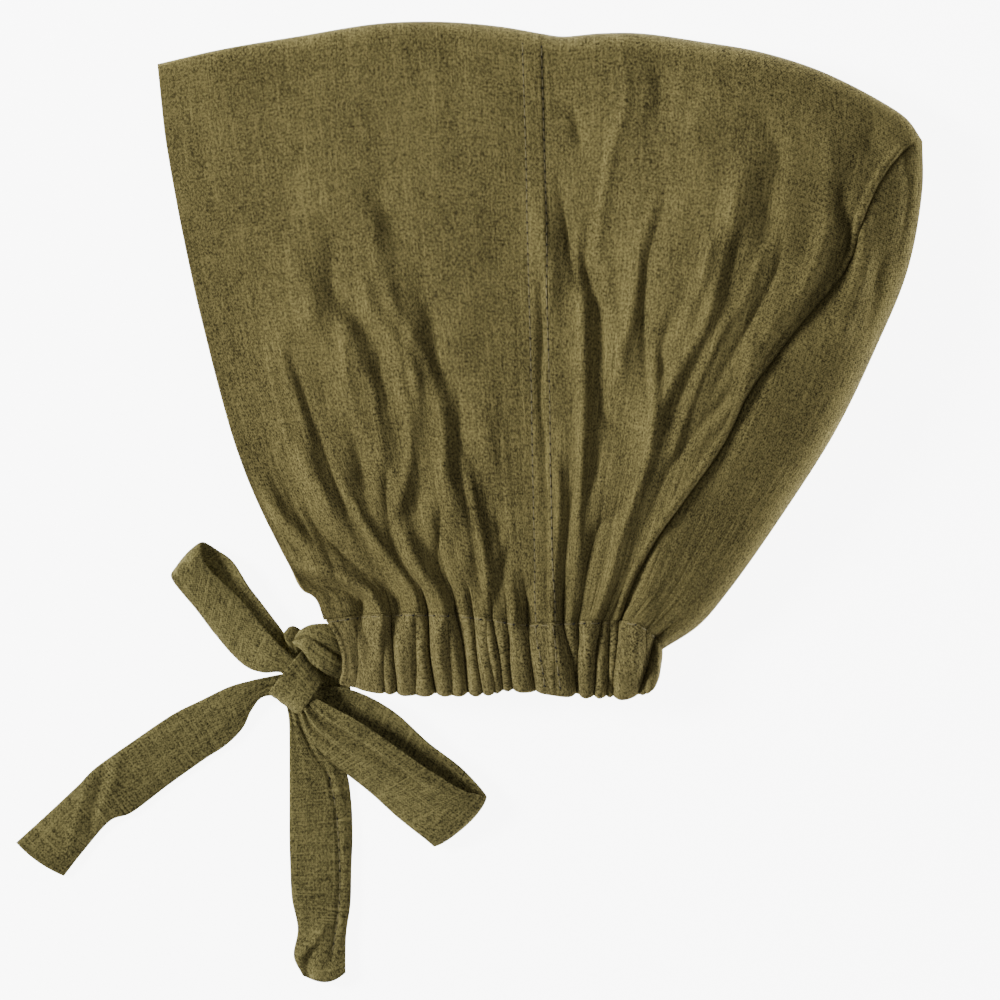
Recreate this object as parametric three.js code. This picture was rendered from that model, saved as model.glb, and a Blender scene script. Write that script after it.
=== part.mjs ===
import * as THREE from "three";

// Underscarf cap of thin woven cloth, lying on its side. X runs from the face edge to
// the back of the head, Y from the neck up to the fold over the head, Z up from the
// surface that it lies on. Millimetres.

// Crown
const crown_length = 275;
const crown_height = 214;
const crown_depth = 36;
const cloth_wall = 1.2;
const top_fold_rise = 3.4;
const top_fold_reach = 7;
const back_roll_rise = 9;
const back_roll_reach = 16;
const seam_strip_width = 6.5;
const seam_strip_wall = 1.9;

// Neck casing
const casing_wall = 2.4;
const casing_droop = 2;
const crease_width = 2.1;
const crease_depth = 2;
const pucker_reach = 0.16;

// Ties and bow
const tie_width = 21.6;
const tie_wall = 1.6;
const upper_loop_length = 60;
const lower_loop_length = 77;
const left_end_length = 112;
const down_end_length = 108;
const near_root_length = 9.4;
const far_root_length = 8;
const knot_length = 14.4;
const knot_width = 13.5;
const knot_top = 9.6;
const knot_heading = -44;

// Fit
const gap = 0.3;
const root_gap = 0.6;
const rest_wall = cloth_wall / 2;
const knot_bottom = tie_wall * 1.5 + gap;

// Outlines of the lying crown: x as a share of crown_length, y of crown_height,
// each from the neck upwards or from the face backwards
const face_edge = [
  [0.218, -0.002], [0.173, 0.089], [0.114, 0.249], [0.055, 0.519], [0.013, 0.788], [0.0, 0.929],
];
const side_seam = [
  [0.519, -0.006], [0.514, 0.3], [0.507, 0.704], [0.501, 0.98],
];
const back_edge = [
  [0.659, -0.05], [0.706, -0.01], [0.744, 0.047], [0.818, 0.182], [0.884, 0.316],
  [0.935, 0.451], [0.978, 0.586], [0.997, 0.721], [0.997, 0.8],
];
const front_stitching = [
  [0.218, -0.002], [0.29, 0.008], [0.39, 0.008], [0.486, -0.008], [0.519, -0.006],
];
const back_stitching = [
  [0.519, -0.006], [0.58, -0.003], [0.625, -0.007], [0.645, -0.024], [0.659, -0.05],
];
const front_top = [
  [0.0, 0.929], [0.081, 0.953], [0.186, 0.976], [0.29, 0.997], [0.369, 1.0],
  [0.447, 0.992], [0.501, 0.98],
];
const back_top = [
  [0.501, 0.98], [0.528, 0.975], [0.578, 0.98], [0.63, 0.98], [0.708, 0.966],
  [0.787, 0.948], [0.865, 0.916], [0.944, 0.865], [0.978, 0.835], [0.997, 0.8],
];
const casing_hem = [
  [0.24, -0.111], [0.276, -0.123], [0.329, -0.133], [0.43, -0.131], [0.486, -0.125],
  [0.54, -0.133], [0.6, -0.138], [0.63, -0.135], [0.645, -0.122], [0.653, -0.1],
];

// Height of the near side as a share of crown_depth. Rows go from the neck to the top
// fold, columns from the left edge of the panel to its right edge.
const front_heights = [
  [0.47, 0.48, 0.5],
  [0.38, 0.5, 0.58],
  [0.31, 0.46, 0.58],
  [0.25, 0.38, 0.5],
  [0.18, 0.26, 0.34],
];
const back_heights = [
  [0.5, 0.52, 0.45],
  [0.58, 0.76, 0.62],
  [0.58, 0.9, 0.72],
  [0.5, 0.84, 0.62],
  [0.34, 0.46, 0.4],
];

// Long folds of the near side. Their places are shares of crown_length and
// crown_height, wide is a share of crown_length, deep and lip are shares of crown_depth;
// the lip is the raised ridge on the side away from the face.
const fold_columns = [
  "top_x", "top_y", "mid_x", "mid_y", "foot_x", "foot_y", "wide", "deep", "lip",
];
const front_folds = [
  [0.183, 0.616, 0.251, 0.498, 0.303, 0.32, 0.022, 0.07, 0.02],
  [0.169, 0.438, 0.222, 0.266, 0.306, 0.0, 0.017, 0.11, 0.05],
  [0.231, 0.325, 0.288, 0.165, 0.352, 0.0, 0.017, 0.12, 0.04],
  [0.131, 0.249, 0.192, 0.136, 0.297, 0.051, 0.024, 0.07, 0.0],
  [0.297, 0.582, 0.376, 0.367, 0.41, 0.14, 0.02, 0.11, 0.03],
  [0.397, 0.269, 0.429, 0.148, 0.438, 0.0, 0.02, 0.13, 0.03],
  [0.332, 0.46, 0.324, 0.215, 0.386, 0.0, 0.018, 0.09, 0.02],
];
const back_folds = [
  [0.516, 0.712, 0.536, 0.599, 0.574, 0.481, 0.02, 0.07, 0.02],
  [0.573, 0.535, 0.562, 0.3, 0.546, 0.0, 0.022, 0.16, 0.04],
  [0.627, 0.9, 0.592, 0.729, 0.582, 0.5, 0.02, 0.07, 0.02],
  [0.667, 0.774, 0.646, 0.69, 0.61, 0.6, 0.02, 0.06, 0.02],
  [0.652, 0.667, 0.633, 0.569, 0.625, 0.404, 0.018, 0.1, 0.05],
  [0.754, 0.636, 0.659, 0.347, 0.586, 0.0, 0.02, 0.13, 0.04],
  [0.88, 0.699, 0.843, 0.535, 0.741, 0.33, 0.022, 0.2, 0.03],
  [0.995, 0.801, 0.839, 0.498, 0.605, 0.0, 0.018, 0.15, 0.05],
  [0.971, 0.771, 0.959, 0.645, 0.905, 0.438, 0.022, 0.07, 0.0],
];

// Creases of the gathered casing: where each starts at the stitching and ends at the
// hem, as shares of crown_length, and its depth as a share of crease_depth
const crease_columns = ["top", "hem", "deep"];
const casing_creases = [
  [0.259, 0.262, 0.6],
  [0.297, 0.298, 0.8],
  [0.315, 0.32, 0.9],
  [0.336, 0.338, 0.6],
  [0.352, 0.361, 1.0],
  [0.374, 0.38, 0.8],
  [0.393, 0.404, 1.0],
  [0.418, 0.42, 1.0],
  [0.438, 0.443, 1.0],
  [0.458, 0.462, 1.0],
  [0.485, 0.486, 0.8],
  [0.503, 0.503, 0.5],
  [0.527, 0.531, 0.8],
  [0.549, 0.548, 0.8],
  [0.57, 0.564, 0.9],
  [0.588, 0.58, 1.0],
  [0.606, 0.6, 0.9],
  [0.627, 0.623, 0.7],
];

// Shares of a panel's height at which its cross lines lie, close together at the neck
// and at the top fold
const panel_rows = [
  0, 0.035, 0.08, 0.13, 0.19, 0.26, 0.34, 0.43, 0.52, 0.61, 0.7, 0.79, 0.87, 0.93, 0.965,
  0.988, 1,
];
const casing_rows = [0, 0.3, 0.7, 1];
const longest_crease_step = 0.055;

// Stretches of tie from the middle of the bow outwards. along is a share of the
// stretch's length, side and wide are shares of tie_width (side to the left of the
// heading), rise is a share of knot_top above the surface, tilt is in degrees.
const tie_columns = ["along", "side", "rise", "wide", "tilt"];
const upper_loop = [
  [0.03, 0.0, 0.42, 0.38, 0],
  [0.16, -0.04, 0.42, 0.4, 0],
  [0.42, -0.3, 0.14, 0.8, -6],
  [0.75, -0.2, 0.14, 0.9, -8],
  [0.96, 0.0, 0.16, 0.9, 0],
  [1.0, 0.02, 0.55, 0.9, 0],
  [0.95, 0.06, 0.98, 0.85, 4],
  [0.7, 0.14, 1.1, 0.78, 6],
  [0.4, 0.22, 0.98, 0.8, 6],
  [0.16, 0.06, 0.72, 0.46, 0],
  [0.03, 0.0, 0.7, 0.38, 0],
];
const lower_loop = [
  [0.03, 0.0, 0.42, 0.38, 0],
  [0.14, 0.06, 0.42, 0.4, 0],
  [0.42, 0.26, 0.2, 0.9, 4],
  [0.8, 0.14, 0.14, 1.05, 6],
  [0.97, 0.0, 0.16, 1.1, 0],
  [1.0, -0.02, 0.55, 1.1, 0],
  [0.95, -0.06, 0.98, 1.05, -4],
  [0.64, -0.16, 1.15, 0.92, -8],
  [0.34, -0.16, 1.0, 0.82, -6],
  [0.14, -0.04, 0.72, 0.46, 0],
  [0.03, 0.0, 0.7, 0.38, 0],
];
const left_end = [
  [0.03, -0.2, 0.0, 0.5, 0],
  [0.18, -0.33, 0.04, 0.55, 0],
  [0.38, -0.28, 0.3, 0.93, 4],
  [0.6, -0.3, 0.12, 0.92, -3],
  [0.76, -0.28, 0.26, 0.8, 4],
  [0.88, -0.16, 0.1, 0.9, 0],
  [1.0, -0.02, 0.05, 0.92, 0],
];
const down_end = [
  [0.06, 0.1, 0.0, 0.5, 0],
  [0.2, 0.12, 0.04, 0.6, 0],
  [0.35, 0.18, 0.1, 0.9, 0],
  [0.51, 0.21, 0.22, 1.05, 5],
  [0.72, 0.14, 0.08, 0.98, 0],
  [0.86, 0.07, 0.3, 0.82, -6],
  [1.0, 0.02, 0.2, 0.88, 0],
];
const near_root = [
  [0.0, 0.0, 1.4, 0.4, 0],
  [0.3, 0.0, 1.2, 0.36, 0],
  [0.65, 0.0, 0.95, 0.3, 0],
  [1.0, 0.0, 0.8, 0.3, 0],
];
const far_root = [
  [0.0, 0.0, 0.05, 0.34, 0],
  [0.3, 0.0, 0.16, 0.32, 0],
  [0.65, 0.02, 0.3, 0.28, 0],
  [1.0, 0.06, 0.36, 0.26, 0],
];

// Headings of the stretches of tie, in degrees from the X axis
const near_root_heading = 160;
const far_root_heading = 182;
const upper_loop_heading = 131;
const lower_loop_heading = -40;
const left_end_heading = 214.6;
const down_end_heading = -85.6;

// Where each tie leaves the front end of the casing, as a share of the way down to the
// hem, and where the middle of the bow lies from the place that the near tie leaves
const near_root_leaves = 0.58;
const far_root_leaves = 0.27;
const knot_from_casing = [-12.3, -9.6];

function named(columns, table) {
  return table.map((row) => Object.fromEntries(columns.map((name, i) => [name, row[i]])));
}

function smoothstep(t) {
  const c = Math.min(Math.max(t, 0), 1);
  return c * c * (3 - 2 * c);
}

function quarter_round(distance, reach) {
  const left = 1 - Math.min(distance / reach, 1);
  return Math.sqrt(Math.max(1 - left * left, 0));
}

function plan_curve(outline) {
  const points = outline.map(([x, y]) => new THREE.Vector3(x * crown_length, y * crown_height, 0));
  const curve = new THREE.CatmullRomCurve3(points, false, "centripetal");
  curve.arcLengthDivisions = 400;
  return curve;
}

// Value of a row of evenly spaced numbers at a share t, without corners
function along_row(values, t) {
  const last = values.length - 1;
  const place = Math.min(Math.max(t, 0), 1) * last;
  const i = Math.min(Math.floor(place), last - 1);
  const f = place - i;
  const a = values[i];
  const b = values[i + 1];
  const slope_a = (b - values[Math.max(i - 1, 0)]) / 2;
  const slope_b = (values[Math.min(i + 2, last)] - a) / 2;
  const f2 = f * f;
  const f3 = f2 * f;
  return (2 * f3 - 3 * f2 + 1) * a + (f3 - 2 * f2 + f) * slope_a
    + (3 * f2 - 2 * f3) * b + (f3 - f2) * slope_b;
}

// A fold's centre line as a short list of plan points
function fold_line(fold) {
  const curve = new THREE.QuadraticBezierCurve(
    new THREE.Vector2(fold.top_x, fold.top_y),
    new THREE.Vector2(
      2 * fold.mid_x - (fold.top_x + fold.foot_x) / 2,
      2 * fold.mid_y - (fold.top_y + fold.foot_y) / 2,
    ),
    new THREE.Vector2(fold.foot_x, fold.foot_y),
  );
  return curve.getPoints(14).map((p) => p.multiply(new THREE.Vector2(crown_length, crown_height)));
}

// How far a plan point lies from a fold's line, on which side, and how far along it
function fold_distance(line, x, y) {
  let best = { away: Infinity, share: 0 };
  for (let i = 0; i < line.length - 1; i += 1) {
    const a = line[i];
    const b = line[i + 1];
    const run = b.clone().sub(a);
    const to = new THREE.Vector2(x - a.x, y - a.y);
    const t = Math.min(Math.max(to.dot(run) / run.lengthSq(), 0), 1);
    const off = to.clone().sub(run.clone().multiplyScalar(t));
    const side = run.x * to.y - run.y * to.x > 0 ? 1 : -1;
    if (off.length() < Math.abs(best.away)) {
      best = { away: side * off.length(), share: (i + t) / (line.length - 1) };
    }
  }
  return best;
}

// Depth of all long folds of a panel at a plan point, millimetres down
function fold_depth(folds, x, y) {
  let depth = 0;
  for (const fold of folds) {
    const { away, share } = fold_distance(fold.line, x, y);
    const wide = fold.wide * crown_length;
    const fades_out = fold.foot_y > 0.02 ? smoothstep((1 - share) / 0.3) : 1;
    const strength = smoothstep(share / 0.35) * fades_out * crown_depth;
    const valley = Math.exp(-((away / wide) ** 2));
    const ridge = Math.exp(-(((away - 1.7 * wide) / wide) ** 2));
    depth += strength * (fold.deep * valley - fold.lip * ridge);
  }
  return depth;
}

// Plan point on the front end of the casing
function casing_front(share) {
  const [top_x, top_y] = face_edge[0];
  const [hem_x, hem_y] = casing_hem[0];
  return [
    (top_x + (hem_x - top_x) * share) * crown_length,
    (top_y + (hem_y - top_y) * share) * crown_height,
  ];
}

function make_panel(parts) {
  const curves = Object.fromEntries(
    ["neck", "top", "left", "right"].map((side) => [side, plan_curve(parts[side])]),
  );
  const folds = named(fold_columns, parts.folds);
  folds.forEach((fold) => { fold.line = fold_line(fold); });
  const start = parts.neck[0][0];
  const span = parts.neck.at(-1)[0] - start;
  const creases = named(crease_columns, casing_creases)
    .map((crease) => ({ ...crease, at: (crease.top - start) / span }))
    .filter((crease) => crease.at > 0 && crease.at < 1);
  return { ...parts, curves, folds, creases, neck_length: span * crown_length };
}

// Plan place of a share across and a share up a panel, blended from its four edges
function panel_place(panel, across, up) {
  const { neck, top, left, right } = panel.curves;
  const on = (curve, share) => curve.getPointAt(share);
  const place = on(neck, across).multiplyScalar(1 - up).addScaledVector(on(top, across), up);
  place.addScaledVector(on(left, up), 1 - across).addScaledVector(on(right, up), across);
  place.addScaledVector(on(neck, 0), -(1 - across) * (1 - up));
  place.addScaledVector(on(neck, 1), -across * (1 - up));
  place.addScaledVector(on(top, 0), -(1 - across) * up);
  place.addScaledVector(on(top, 1), -across * up);
  return place;
}

// Direction square to the stitching at the neck, towards the crown
function across_stitching(panel, across) {
  const run = panel.curves.neck.getTangentAt(across);
  return new THREE.Vector3(-run.y, run.x, 0).normalize();
}

// Height of one side without its folds: near is the side away from the surface
function side_height(panel, near, across, up) {
  const columns = panel.heights[0].map((_, i) => along_row(panel.heights.map((row) => row[i]), up));
  const full = along_row(columns, across) * crown_depth;
  const width = panel.curves.right.getPointAt(up).distanceTo(panel.curves.left.getPointAt(up));
  const roll_reach = Math.min(back_roll_reach, 0.2 * width);
  const from_top = (1 - up) * crown_height;
  const from_back = panel.closed_back ? (1 - across) * width : Infinity;
  const open = quarter_round(from_top, top_fold_reach) * quarter_round(from_back, roll_reach);
  const roll = panel.closed_back ? smoothstep(across * 1.25) * (0.55 + 0.45 * smoothstep(up * 4)) : 0;
  const edge = top_fold_rise + (back_roll_rise - top_fold_rise) * roll;
  const low = rest_wall + (casing_wall / 2 - rest_wall) * smoothstep(1 - up / pucker_reach);
  return near ? edge + (full - edge) * open : low + (edge - low) * (1 - open);
}

// Small creases pulled in by the elastic, deepest at the stitching
function pucker(panel, across, up) {
  const fade = smoothstep(1 - up / pucker_reach);
  return panel.creases.reduce((sum, crease) => {
    const away = (across - crease.at) * panel.neck_length;
    return sum + fade * crease.deep * crease_depth * Math.exp(-((away / crease_width) ** 2));
  }, 0);
}

function panel_point(panel, near, across, up) {
  const place = panel_place(panel, across, up);
  const edge = panel.closed_back ? 1 - across : across;
  const base = side_height(panel, near, across, up);
  const from_edge = panel.closed_back ? smoothstep((1 - across) / 0.12) : 1;
  const calm = smoothstep((1 - up) / 0.06) * from_edge;
  const folded = near ? fold_depth(panel.folds, place.x, place.y) * calm : 0;
  const puckered = pucker(panel, across, up) * from_edge;
  place.x += (panel.closed_back ? 0.5 : -0.5) * gap * edge;
  place.addScaledVector(across_stitching(panel, across), 0.5 * gap * (1 - up));
  place.z = near ? base - folded - puckered : base + 0.7 * puckered;
  return place;
}

// Shares across at which lines run up the cloth: on each crease and between them
function crease_stations(places, longest) {
  const marks = [0, ...places, 1];
  const stations = [];
  for (let i = 0; i < marks.length - 1; i += 1) {
    const step = marks[i + 1] - marks[i];
    const parts = Math.max(Math.ceil(step / longest), i === marks.length - 2 ? 1 : 2);
    for (let k = 0; k < parts; k += 1) stations.push(marks[i] + (step * k) / parts);
  }
  return [...stations, 1];
}

// Closed cloth wall about a middle surface. Each point has its own wall, and pin is a
// direction that its wall may not lean in, so that edges meet squarely.
function cloth_wall_mesh(points, faces) {
  const normals = points.map(() => new THREE.Vector3());
  for (const [a, b, c] of faces) {
    const ab = points[b].at.clone().sub(points[a].at);
    const ac = points[c].at.clone().sub(points[a].at);
    const normal = ab.cross(ac);
    [a, b, c].forEach((i) => normals[i].add(normal));
  }
  const position = [];
  points.forEach((point, i) => {
    const normal = normals[i];
    if (point.pin) normal.addScaledVector(point.pin, -normal.dot(point.pin));
    normal.normalize().multiplyScalar(point.wall / 2);
    position.push(...point.at.clone().add(normal).toArray());
    position.push(...point.at.clone().sub(normal).toArray());
  });
  const outer = (i) => 2 * i;
  const inner = (i) => 2 * i + 1;
  const index = [];
  const edges = new Map();
  for (const [a, b, c] of faces) {
    index.push(outer(a), outer(b), outer(c), inner(a), inner(c), inner(b));
    [[a, b], [b, c], [c, a]].forEach(([p, q]) => edges.set(`${p},${q}`, [p, q]));
  }
  for (const [p, q] of edges.values()) {
    if (!edges.has(`${q},${p}`)) {
      index.push(outer(q), outer(p), inner(p), outer(q), inner(p), inner(q));
    }
  }
  const geometry = new THREE.BufferGeometry();
  geometry.setAttribute("position", new THREE.Float32BufferAttribute(position, 3));
  geometry.setIndex(index);
  geometry.computeVertexNormals();
  return geometry;
}

// Middle surface as a net of columns and rows; number(i, j) gives a point's number,
// which neighbouring nets may share
function net_faces(columns, rows, number, flipped) {
  const faces = [];
  for (let i = 0; i < columns - 1; i += 1) {
    for (let j = 0; j < rows - 1; j += 1) {
      const quad = [number(i, j), number(i + 1, j), number(i + 1, j + 1), number(i, j + 1)];
      if (flipped) quad.reverse();
      faces.push([quad[0], quad[1], quad[2]], [quad[0], quad[2], quad[3]]);
    }
  }
  return faces.filter(([a, b, c]) => a !== b && b !== c && c !== a);
}

function panel_geometry(panel) {
  const strip_start = 1 - seam_strip_width / panel.neck_length;
  const marks = panel.creases.map((crease) => crease.at);
  const clear_of_strip = marks.filter((at) => at < strip_start - 0.02);
  const stations = panel.closed_back
    ? crease_stations([...marks, 0.93, 0.97], longest_crease_step)
    : crease_stations([...clear_of_strip, strip_start], longest_crease_step);
  const last_row = panel_rows.length - 1;
  const last_column = stations.length - 1;
  const points = [];
  const numbers = new Map();
  const number = (near) => (i, j) => {
    const joined = j === last_row || (panel.closed_back && i === last_column);
    const key = `${near || joined},${i},${j}`;
    if (!numbers.has(key)) {
      const at_seam = panel.closed_back ? i === 0 : i === last_column;
      const at_neck = j === 0 ? across_stitching(panel, stations[i]) : null;
      const in_strip = !panel.closed_back && stations[i] > strip_start - 0.001;
      const at = panel_point(panel, near, stations[i], panel_rows[j]);
      const inwards = (seam_strip_wall - cloth_wall) / 2;
      if (in_strip && !joined) at.z += near ? -inwards : inwards;
      numbers.set(key, points.length);
      points.push({
        at,
        wall: in_strip ? seam_strip_wall : cloth_wall,
        pin: at_seam ? new THREE.Vector3(1, 0, 0) : at_neck,
      });
    }
    return numbers.get(key);
  };
  const near_faces = net_faces(stations.length, panel_rows.length, number(true), false);
  const far_faces = net_faces(stations.length, panel_rows.length, number(false), true);
  return cloth_wall_mesh(points, [...near_faces, ...far_faces]);
}

// The casing hangs from the edge of both panels, near side, round the back, far side
function casing_geometry(front, back) {
  const start = front_stitching[0][0];
  const end = back_stitching.at(-1)[0];
  const seam = front_stitching.at(-1)[0];
  const hem_curve = plan_curve(casing_hem);
  const hem_start = casing_hem[0][0];
  const hem_end = casing_hem.at(-1)[0];
  const creases = named(crease_columns, casing_creases).map((crease) => ({
    at_top: (crease.top - start) / (end - start),
    at_hem: (crease.hem - hem_start) / (hem_end - hem_start),
    deep: crease.deep * crease_depth,
  }));
  const middles = creases.map((crease) => (crease.at_top + crease.at_hem) / 2);
  const half = crease_stations([...middles, 0.96, 0.985], longest_crease_step);
  const hem_length = (hem_end - hem_start) * crown_length;

  const on_panel = (along) => {
    const x_share = start + (end - start) * along;
    const [panel, from, to] = x_share < seam ? [front, start, seam] : [back, seam, end];
    return { panel, across: (x_share - from) / (to - from) };
  };
  const casing_point = (near, along, down) => {
    const { panel, across } = on_panel(along);
    const top = panel_place(panel, across, 0);
    const place = top.clone().lerp(hem_curve.getPointAt(along), down);
    const calm = smoothstep((1 - along) / 0.06);
    const creased = creases.reduce((sum, crease) => {
      const centre = crease.at_top + (crease.at_hem - crease.at_top) * down;
      const away = (along - centre) * hem_length;
      return sum + crease.deep * Math.exp(-((away / crease_width) ** 2));
    }, 0) * calm;
    const droop = near ? casing_droop * down * calm : 0;
    place.addScaledVector(across_stitching(panel, across), -0.5 * gap * (1 - down));
    place.z = side_height(panel, near, across, 0) - droop + (near ? -creased : 0.7 * creased);
    return place;
  };

  const path = [
    ...half.map((along) => ({ near: true, along })),
    ...half.slice(0, -1).reverse().map((along) => ({ near: false, along })),
  ];
  const points = path.flatMap(({ near, along }) => casing_rows.map((down) => ({
    at: casing_point(near, along, down),
    wall: casing_wall * (down === 0 || down === 1 ? 0.75 : 1),
    pin: down === 0 ? across_stitching(on_panel(along).panel, on_panel(along).across) : null,
  })));
  const number = (i, j) => i * casing_rows.length + j;
  return cloth_wall_mesh(points, net_faces(path.length, casing_rows.length, number, true));
}

// Start of a stretch of tie that butts against the slanting front end of the casing
function root_start(share, heading, wide) {
  const [x, y] = casing_front(share);
  const [top_x, top_y] = casing_front(0);
  const [hem_x, hem_y] = casing_front(1);
  const turn = THREE.MathUtils.degToRad(heading);
  const skew = turn - Math.atan2(top_y - hem_y, top_x - hem_x) - Math.PI / 2;
  const away = root_gap / Math.cos(skew) + 0.5 * wide * tie_width * Math.abs(Math.tan(skew));
  return [x + away * Math.cos(turn), y + away * Math.sin(turn)];
}

// Flat strip of tie swept along its table, seen from its start at heading degrees
function tie_geometry(table, start, heading, length, steps) {
  const rows = named(tie_columns, table);
  const turn = THREE.MathUtils.degToRad(heading);
  const ahead = new THREE.Vector3(Math.cos(turn), Math.sin(turn), 0);
  const left = new THREE.Vector3(-Math.sin(turn), Math.cos(turn), 0);
  const centres = rows.map((row) => {
    const centre = new THREE.Vector3(start[0], start[1], tie_wall / 2 + row.rise * knot_top);
    centre.addScaledVector(ahead, row.along * length);
    return centre.addScaledVector(left, row.side * tie_width);
  });
  const curve = new THREE.CatmullRomCurve3(centres, false, "centripetal");
  const across = [-1, -0.5, 0, 0.5, 1];
  const points = [];
  for (let k = 0; k <= steps; k += 1) {
    const t = k / steps;
    const wide = along_row(rows.map((row) => row.wide), t) * tie_width;
    const tilt = THREE.MathUtils.degToRad(along_row(rows.map((row) => row.tilt), t));
    const centre = curve.getPoint(t);
    const tangent = curve.getTangent(t);
    const flat = left.clone().addScaledVector(tangent, -left.dot(tangent)).normalize();
    const width_way = flat.applyAxisAngle(tangent, tilt);
    across.forEach((c) => {
      const at = centre.clone().addScaledVector(width_way, (c * wide) / 2);
      at.z = Math.max(at.z, tie_wall / 2);
      points.push({ at, wall: tie_wall, pin: null });
    });
  }
  const number = (i, j) => i * across.length + j;
  return cloth_wall_mesh(points, net_faces(steps + 1, across.length, number, false));
}

// The turn of tie round the middle of the bow: a flattened ring
function knot_geometry(place, turns = 28) {
  const angle = THREE.MathUtils.degToRad(knot_heading);
  const axis = new THREE.Vector3(Math.cos(angle), Math.sin(angle), 0);
  const wrap = new THREE.Vector3(-Math.sin(angle), Math.cos(angle), 0);
  const middle = (knot_bottom + knot_top) / 2;
  const half_height = (knot_top - knot_bottom) / 2;
  const across = [-1, 0, 1];
  const points = [];
  for (let k = 0; k < turns; k += 1) {
    const a = (2 * Math.PI * k) / turns;
    const blunt = (value) => Math.sign(value) * Math.abs(value) ** 0.5;
    across.forEach((c) => {
      const at = new THREE.Vector3(place[0], place[1], middle);
      at.addScaledVector(axis, (c * knot_width) / 2);
      at.addScaledVector(wrap, (blunt(Math.cos(a)) * knot_length) / 2);
      at.z += blunt(Math.sin(a)) * half_height;
      points.push({ at, wall: tie_wall, pin: null });
    });
  }
  const number = (i, j) => (i % turns) * across.length + j;
  return cloth_wall_mesh(points, net_faces(turns + 1, across.length, number, false));
}

function cloth(color, roughness) {
  return new THREE.MeshStandardMaterial({ color, roughness, metalness: 0 });
}

function add_piece(name, geometry, material) {
  const mesh = new THREE.Mesh(geometry, material);
  mesh.name = name;
  cap.add(mesh);
}

const cap = new THREE.Group();

const front = make_panel({
  neck: front_stitching, top: front_top, left: face_edge, right: side_seam,
  heights: front_heights, folds: front_folds, closed_back: false,
});
const back = make_panel({
  neck: back_stitching, top: back_top, left: side_seam, right: back_edge,
  heights: back_heights, folds: back_folds, closed_back: true,
});

add_piece("front_panel", panel_geometry(front), cloth(0x70643a, 0.92));
add_piece("back_panel", panel_geometry(back), cloth(0x6d6138, 0.92));
add_piece("neck_band", casing_geometry(front, back), cloth(0x6b5f36, 0.92));

const bow_cloth = cloth(0x5f5733, 0.9);
const near_start = casing_front(near_root_leaves);
const knot_place = [near_start[0] + knot_from_casing[0], near_start[1] + knot_from_casing[1]];
const stretches = {
  bow_loop_upper: [upper_loop, knot_place, upper_loop_heading, upper_loop_length, 26],
  bow_loop_lower: [lower_loop, knot_place, lower_loop_heading, lower_loop_length, 26],
  tie_end_left: [left_end, knot_place, left_end_heading, left_end_length, 18],
  tie_end_down: [down_end, knot_place, down_end_heading, down_end_length, 18],
  tie_root_near: [
    near_root, root_start(near_root_leaves, near_root_heading, near_root[0][3]),
    near_root_heading, near_root_length, 8,
  ],
  tie_root_far: [
    far_root, root_start(far_root_leaves, far_root_heading, far_root[0][3]),
    far_root_heading, far_root_length, 8,
  ],
};
add_piece("bow_knot", knot_geometry(knot_place), bow_cloth);
Object.entries(stretches).forEach(([name, stretch]) => {
  add_piece(name, tie_geometry(...stretch), bow_cloth);
});

// The middle of the cap's underside is the origin
const bounds = new THREE.Box3().setFromObject(cap, true);
const middle = bounds.getCenter(new THREE.Vector3());
cap.position.set(-middle.x, -middle.y, -bounds.min.z);

export default cap;
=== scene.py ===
import math

import bpy
import numpy as np
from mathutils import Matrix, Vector


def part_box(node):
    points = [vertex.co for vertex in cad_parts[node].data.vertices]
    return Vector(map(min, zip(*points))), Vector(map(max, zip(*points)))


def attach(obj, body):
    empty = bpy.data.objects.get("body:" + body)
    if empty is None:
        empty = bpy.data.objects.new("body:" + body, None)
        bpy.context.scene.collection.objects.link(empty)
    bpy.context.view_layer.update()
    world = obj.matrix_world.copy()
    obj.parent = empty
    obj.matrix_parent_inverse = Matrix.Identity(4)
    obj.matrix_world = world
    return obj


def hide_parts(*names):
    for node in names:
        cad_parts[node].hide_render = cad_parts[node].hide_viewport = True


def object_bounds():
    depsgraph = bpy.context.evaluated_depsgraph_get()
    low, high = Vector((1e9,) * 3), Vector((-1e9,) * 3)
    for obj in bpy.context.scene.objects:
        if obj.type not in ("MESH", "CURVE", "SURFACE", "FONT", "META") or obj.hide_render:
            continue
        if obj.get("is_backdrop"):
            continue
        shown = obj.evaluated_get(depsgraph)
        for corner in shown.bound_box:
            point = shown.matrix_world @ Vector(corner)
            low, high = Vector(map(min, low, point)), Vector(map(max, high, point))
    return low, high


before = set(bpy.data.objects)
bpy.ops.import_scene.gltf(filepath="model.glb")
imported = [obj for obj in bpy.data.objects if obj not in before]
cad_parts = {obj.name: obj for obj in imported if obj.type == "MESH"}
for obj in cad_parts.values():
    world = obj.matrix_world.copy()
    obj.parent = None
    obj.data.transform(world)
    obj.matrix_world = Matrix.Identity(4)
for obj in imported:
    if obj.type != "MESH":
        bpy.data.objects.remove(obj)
CAD_LOW, CAD_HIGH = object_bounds()

# Sizes in millimetres, as in the frame. X runs from the face edge to the back of the
# head, Y from the neck up to the top fold, Z up from the table.
MM = 0.001
SLOPE_STEP = 0.004
CROWN_LENGTH = 275
CROWN_HEIGHT = 214
CROWN_DEPTH = 36
FRAME_WALL = 1.2
CLOTH = 0.5
TOP_FOLD_RISE = 3.4
TOP_FOLD_REACH = 7
BACK_ROLL_RISE = 9
BACK_ROLL_REACH = 16
SEAM_STRIP_WIDTH = 6.6
SEAM_STRIP_RISE = 0.28

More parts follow.
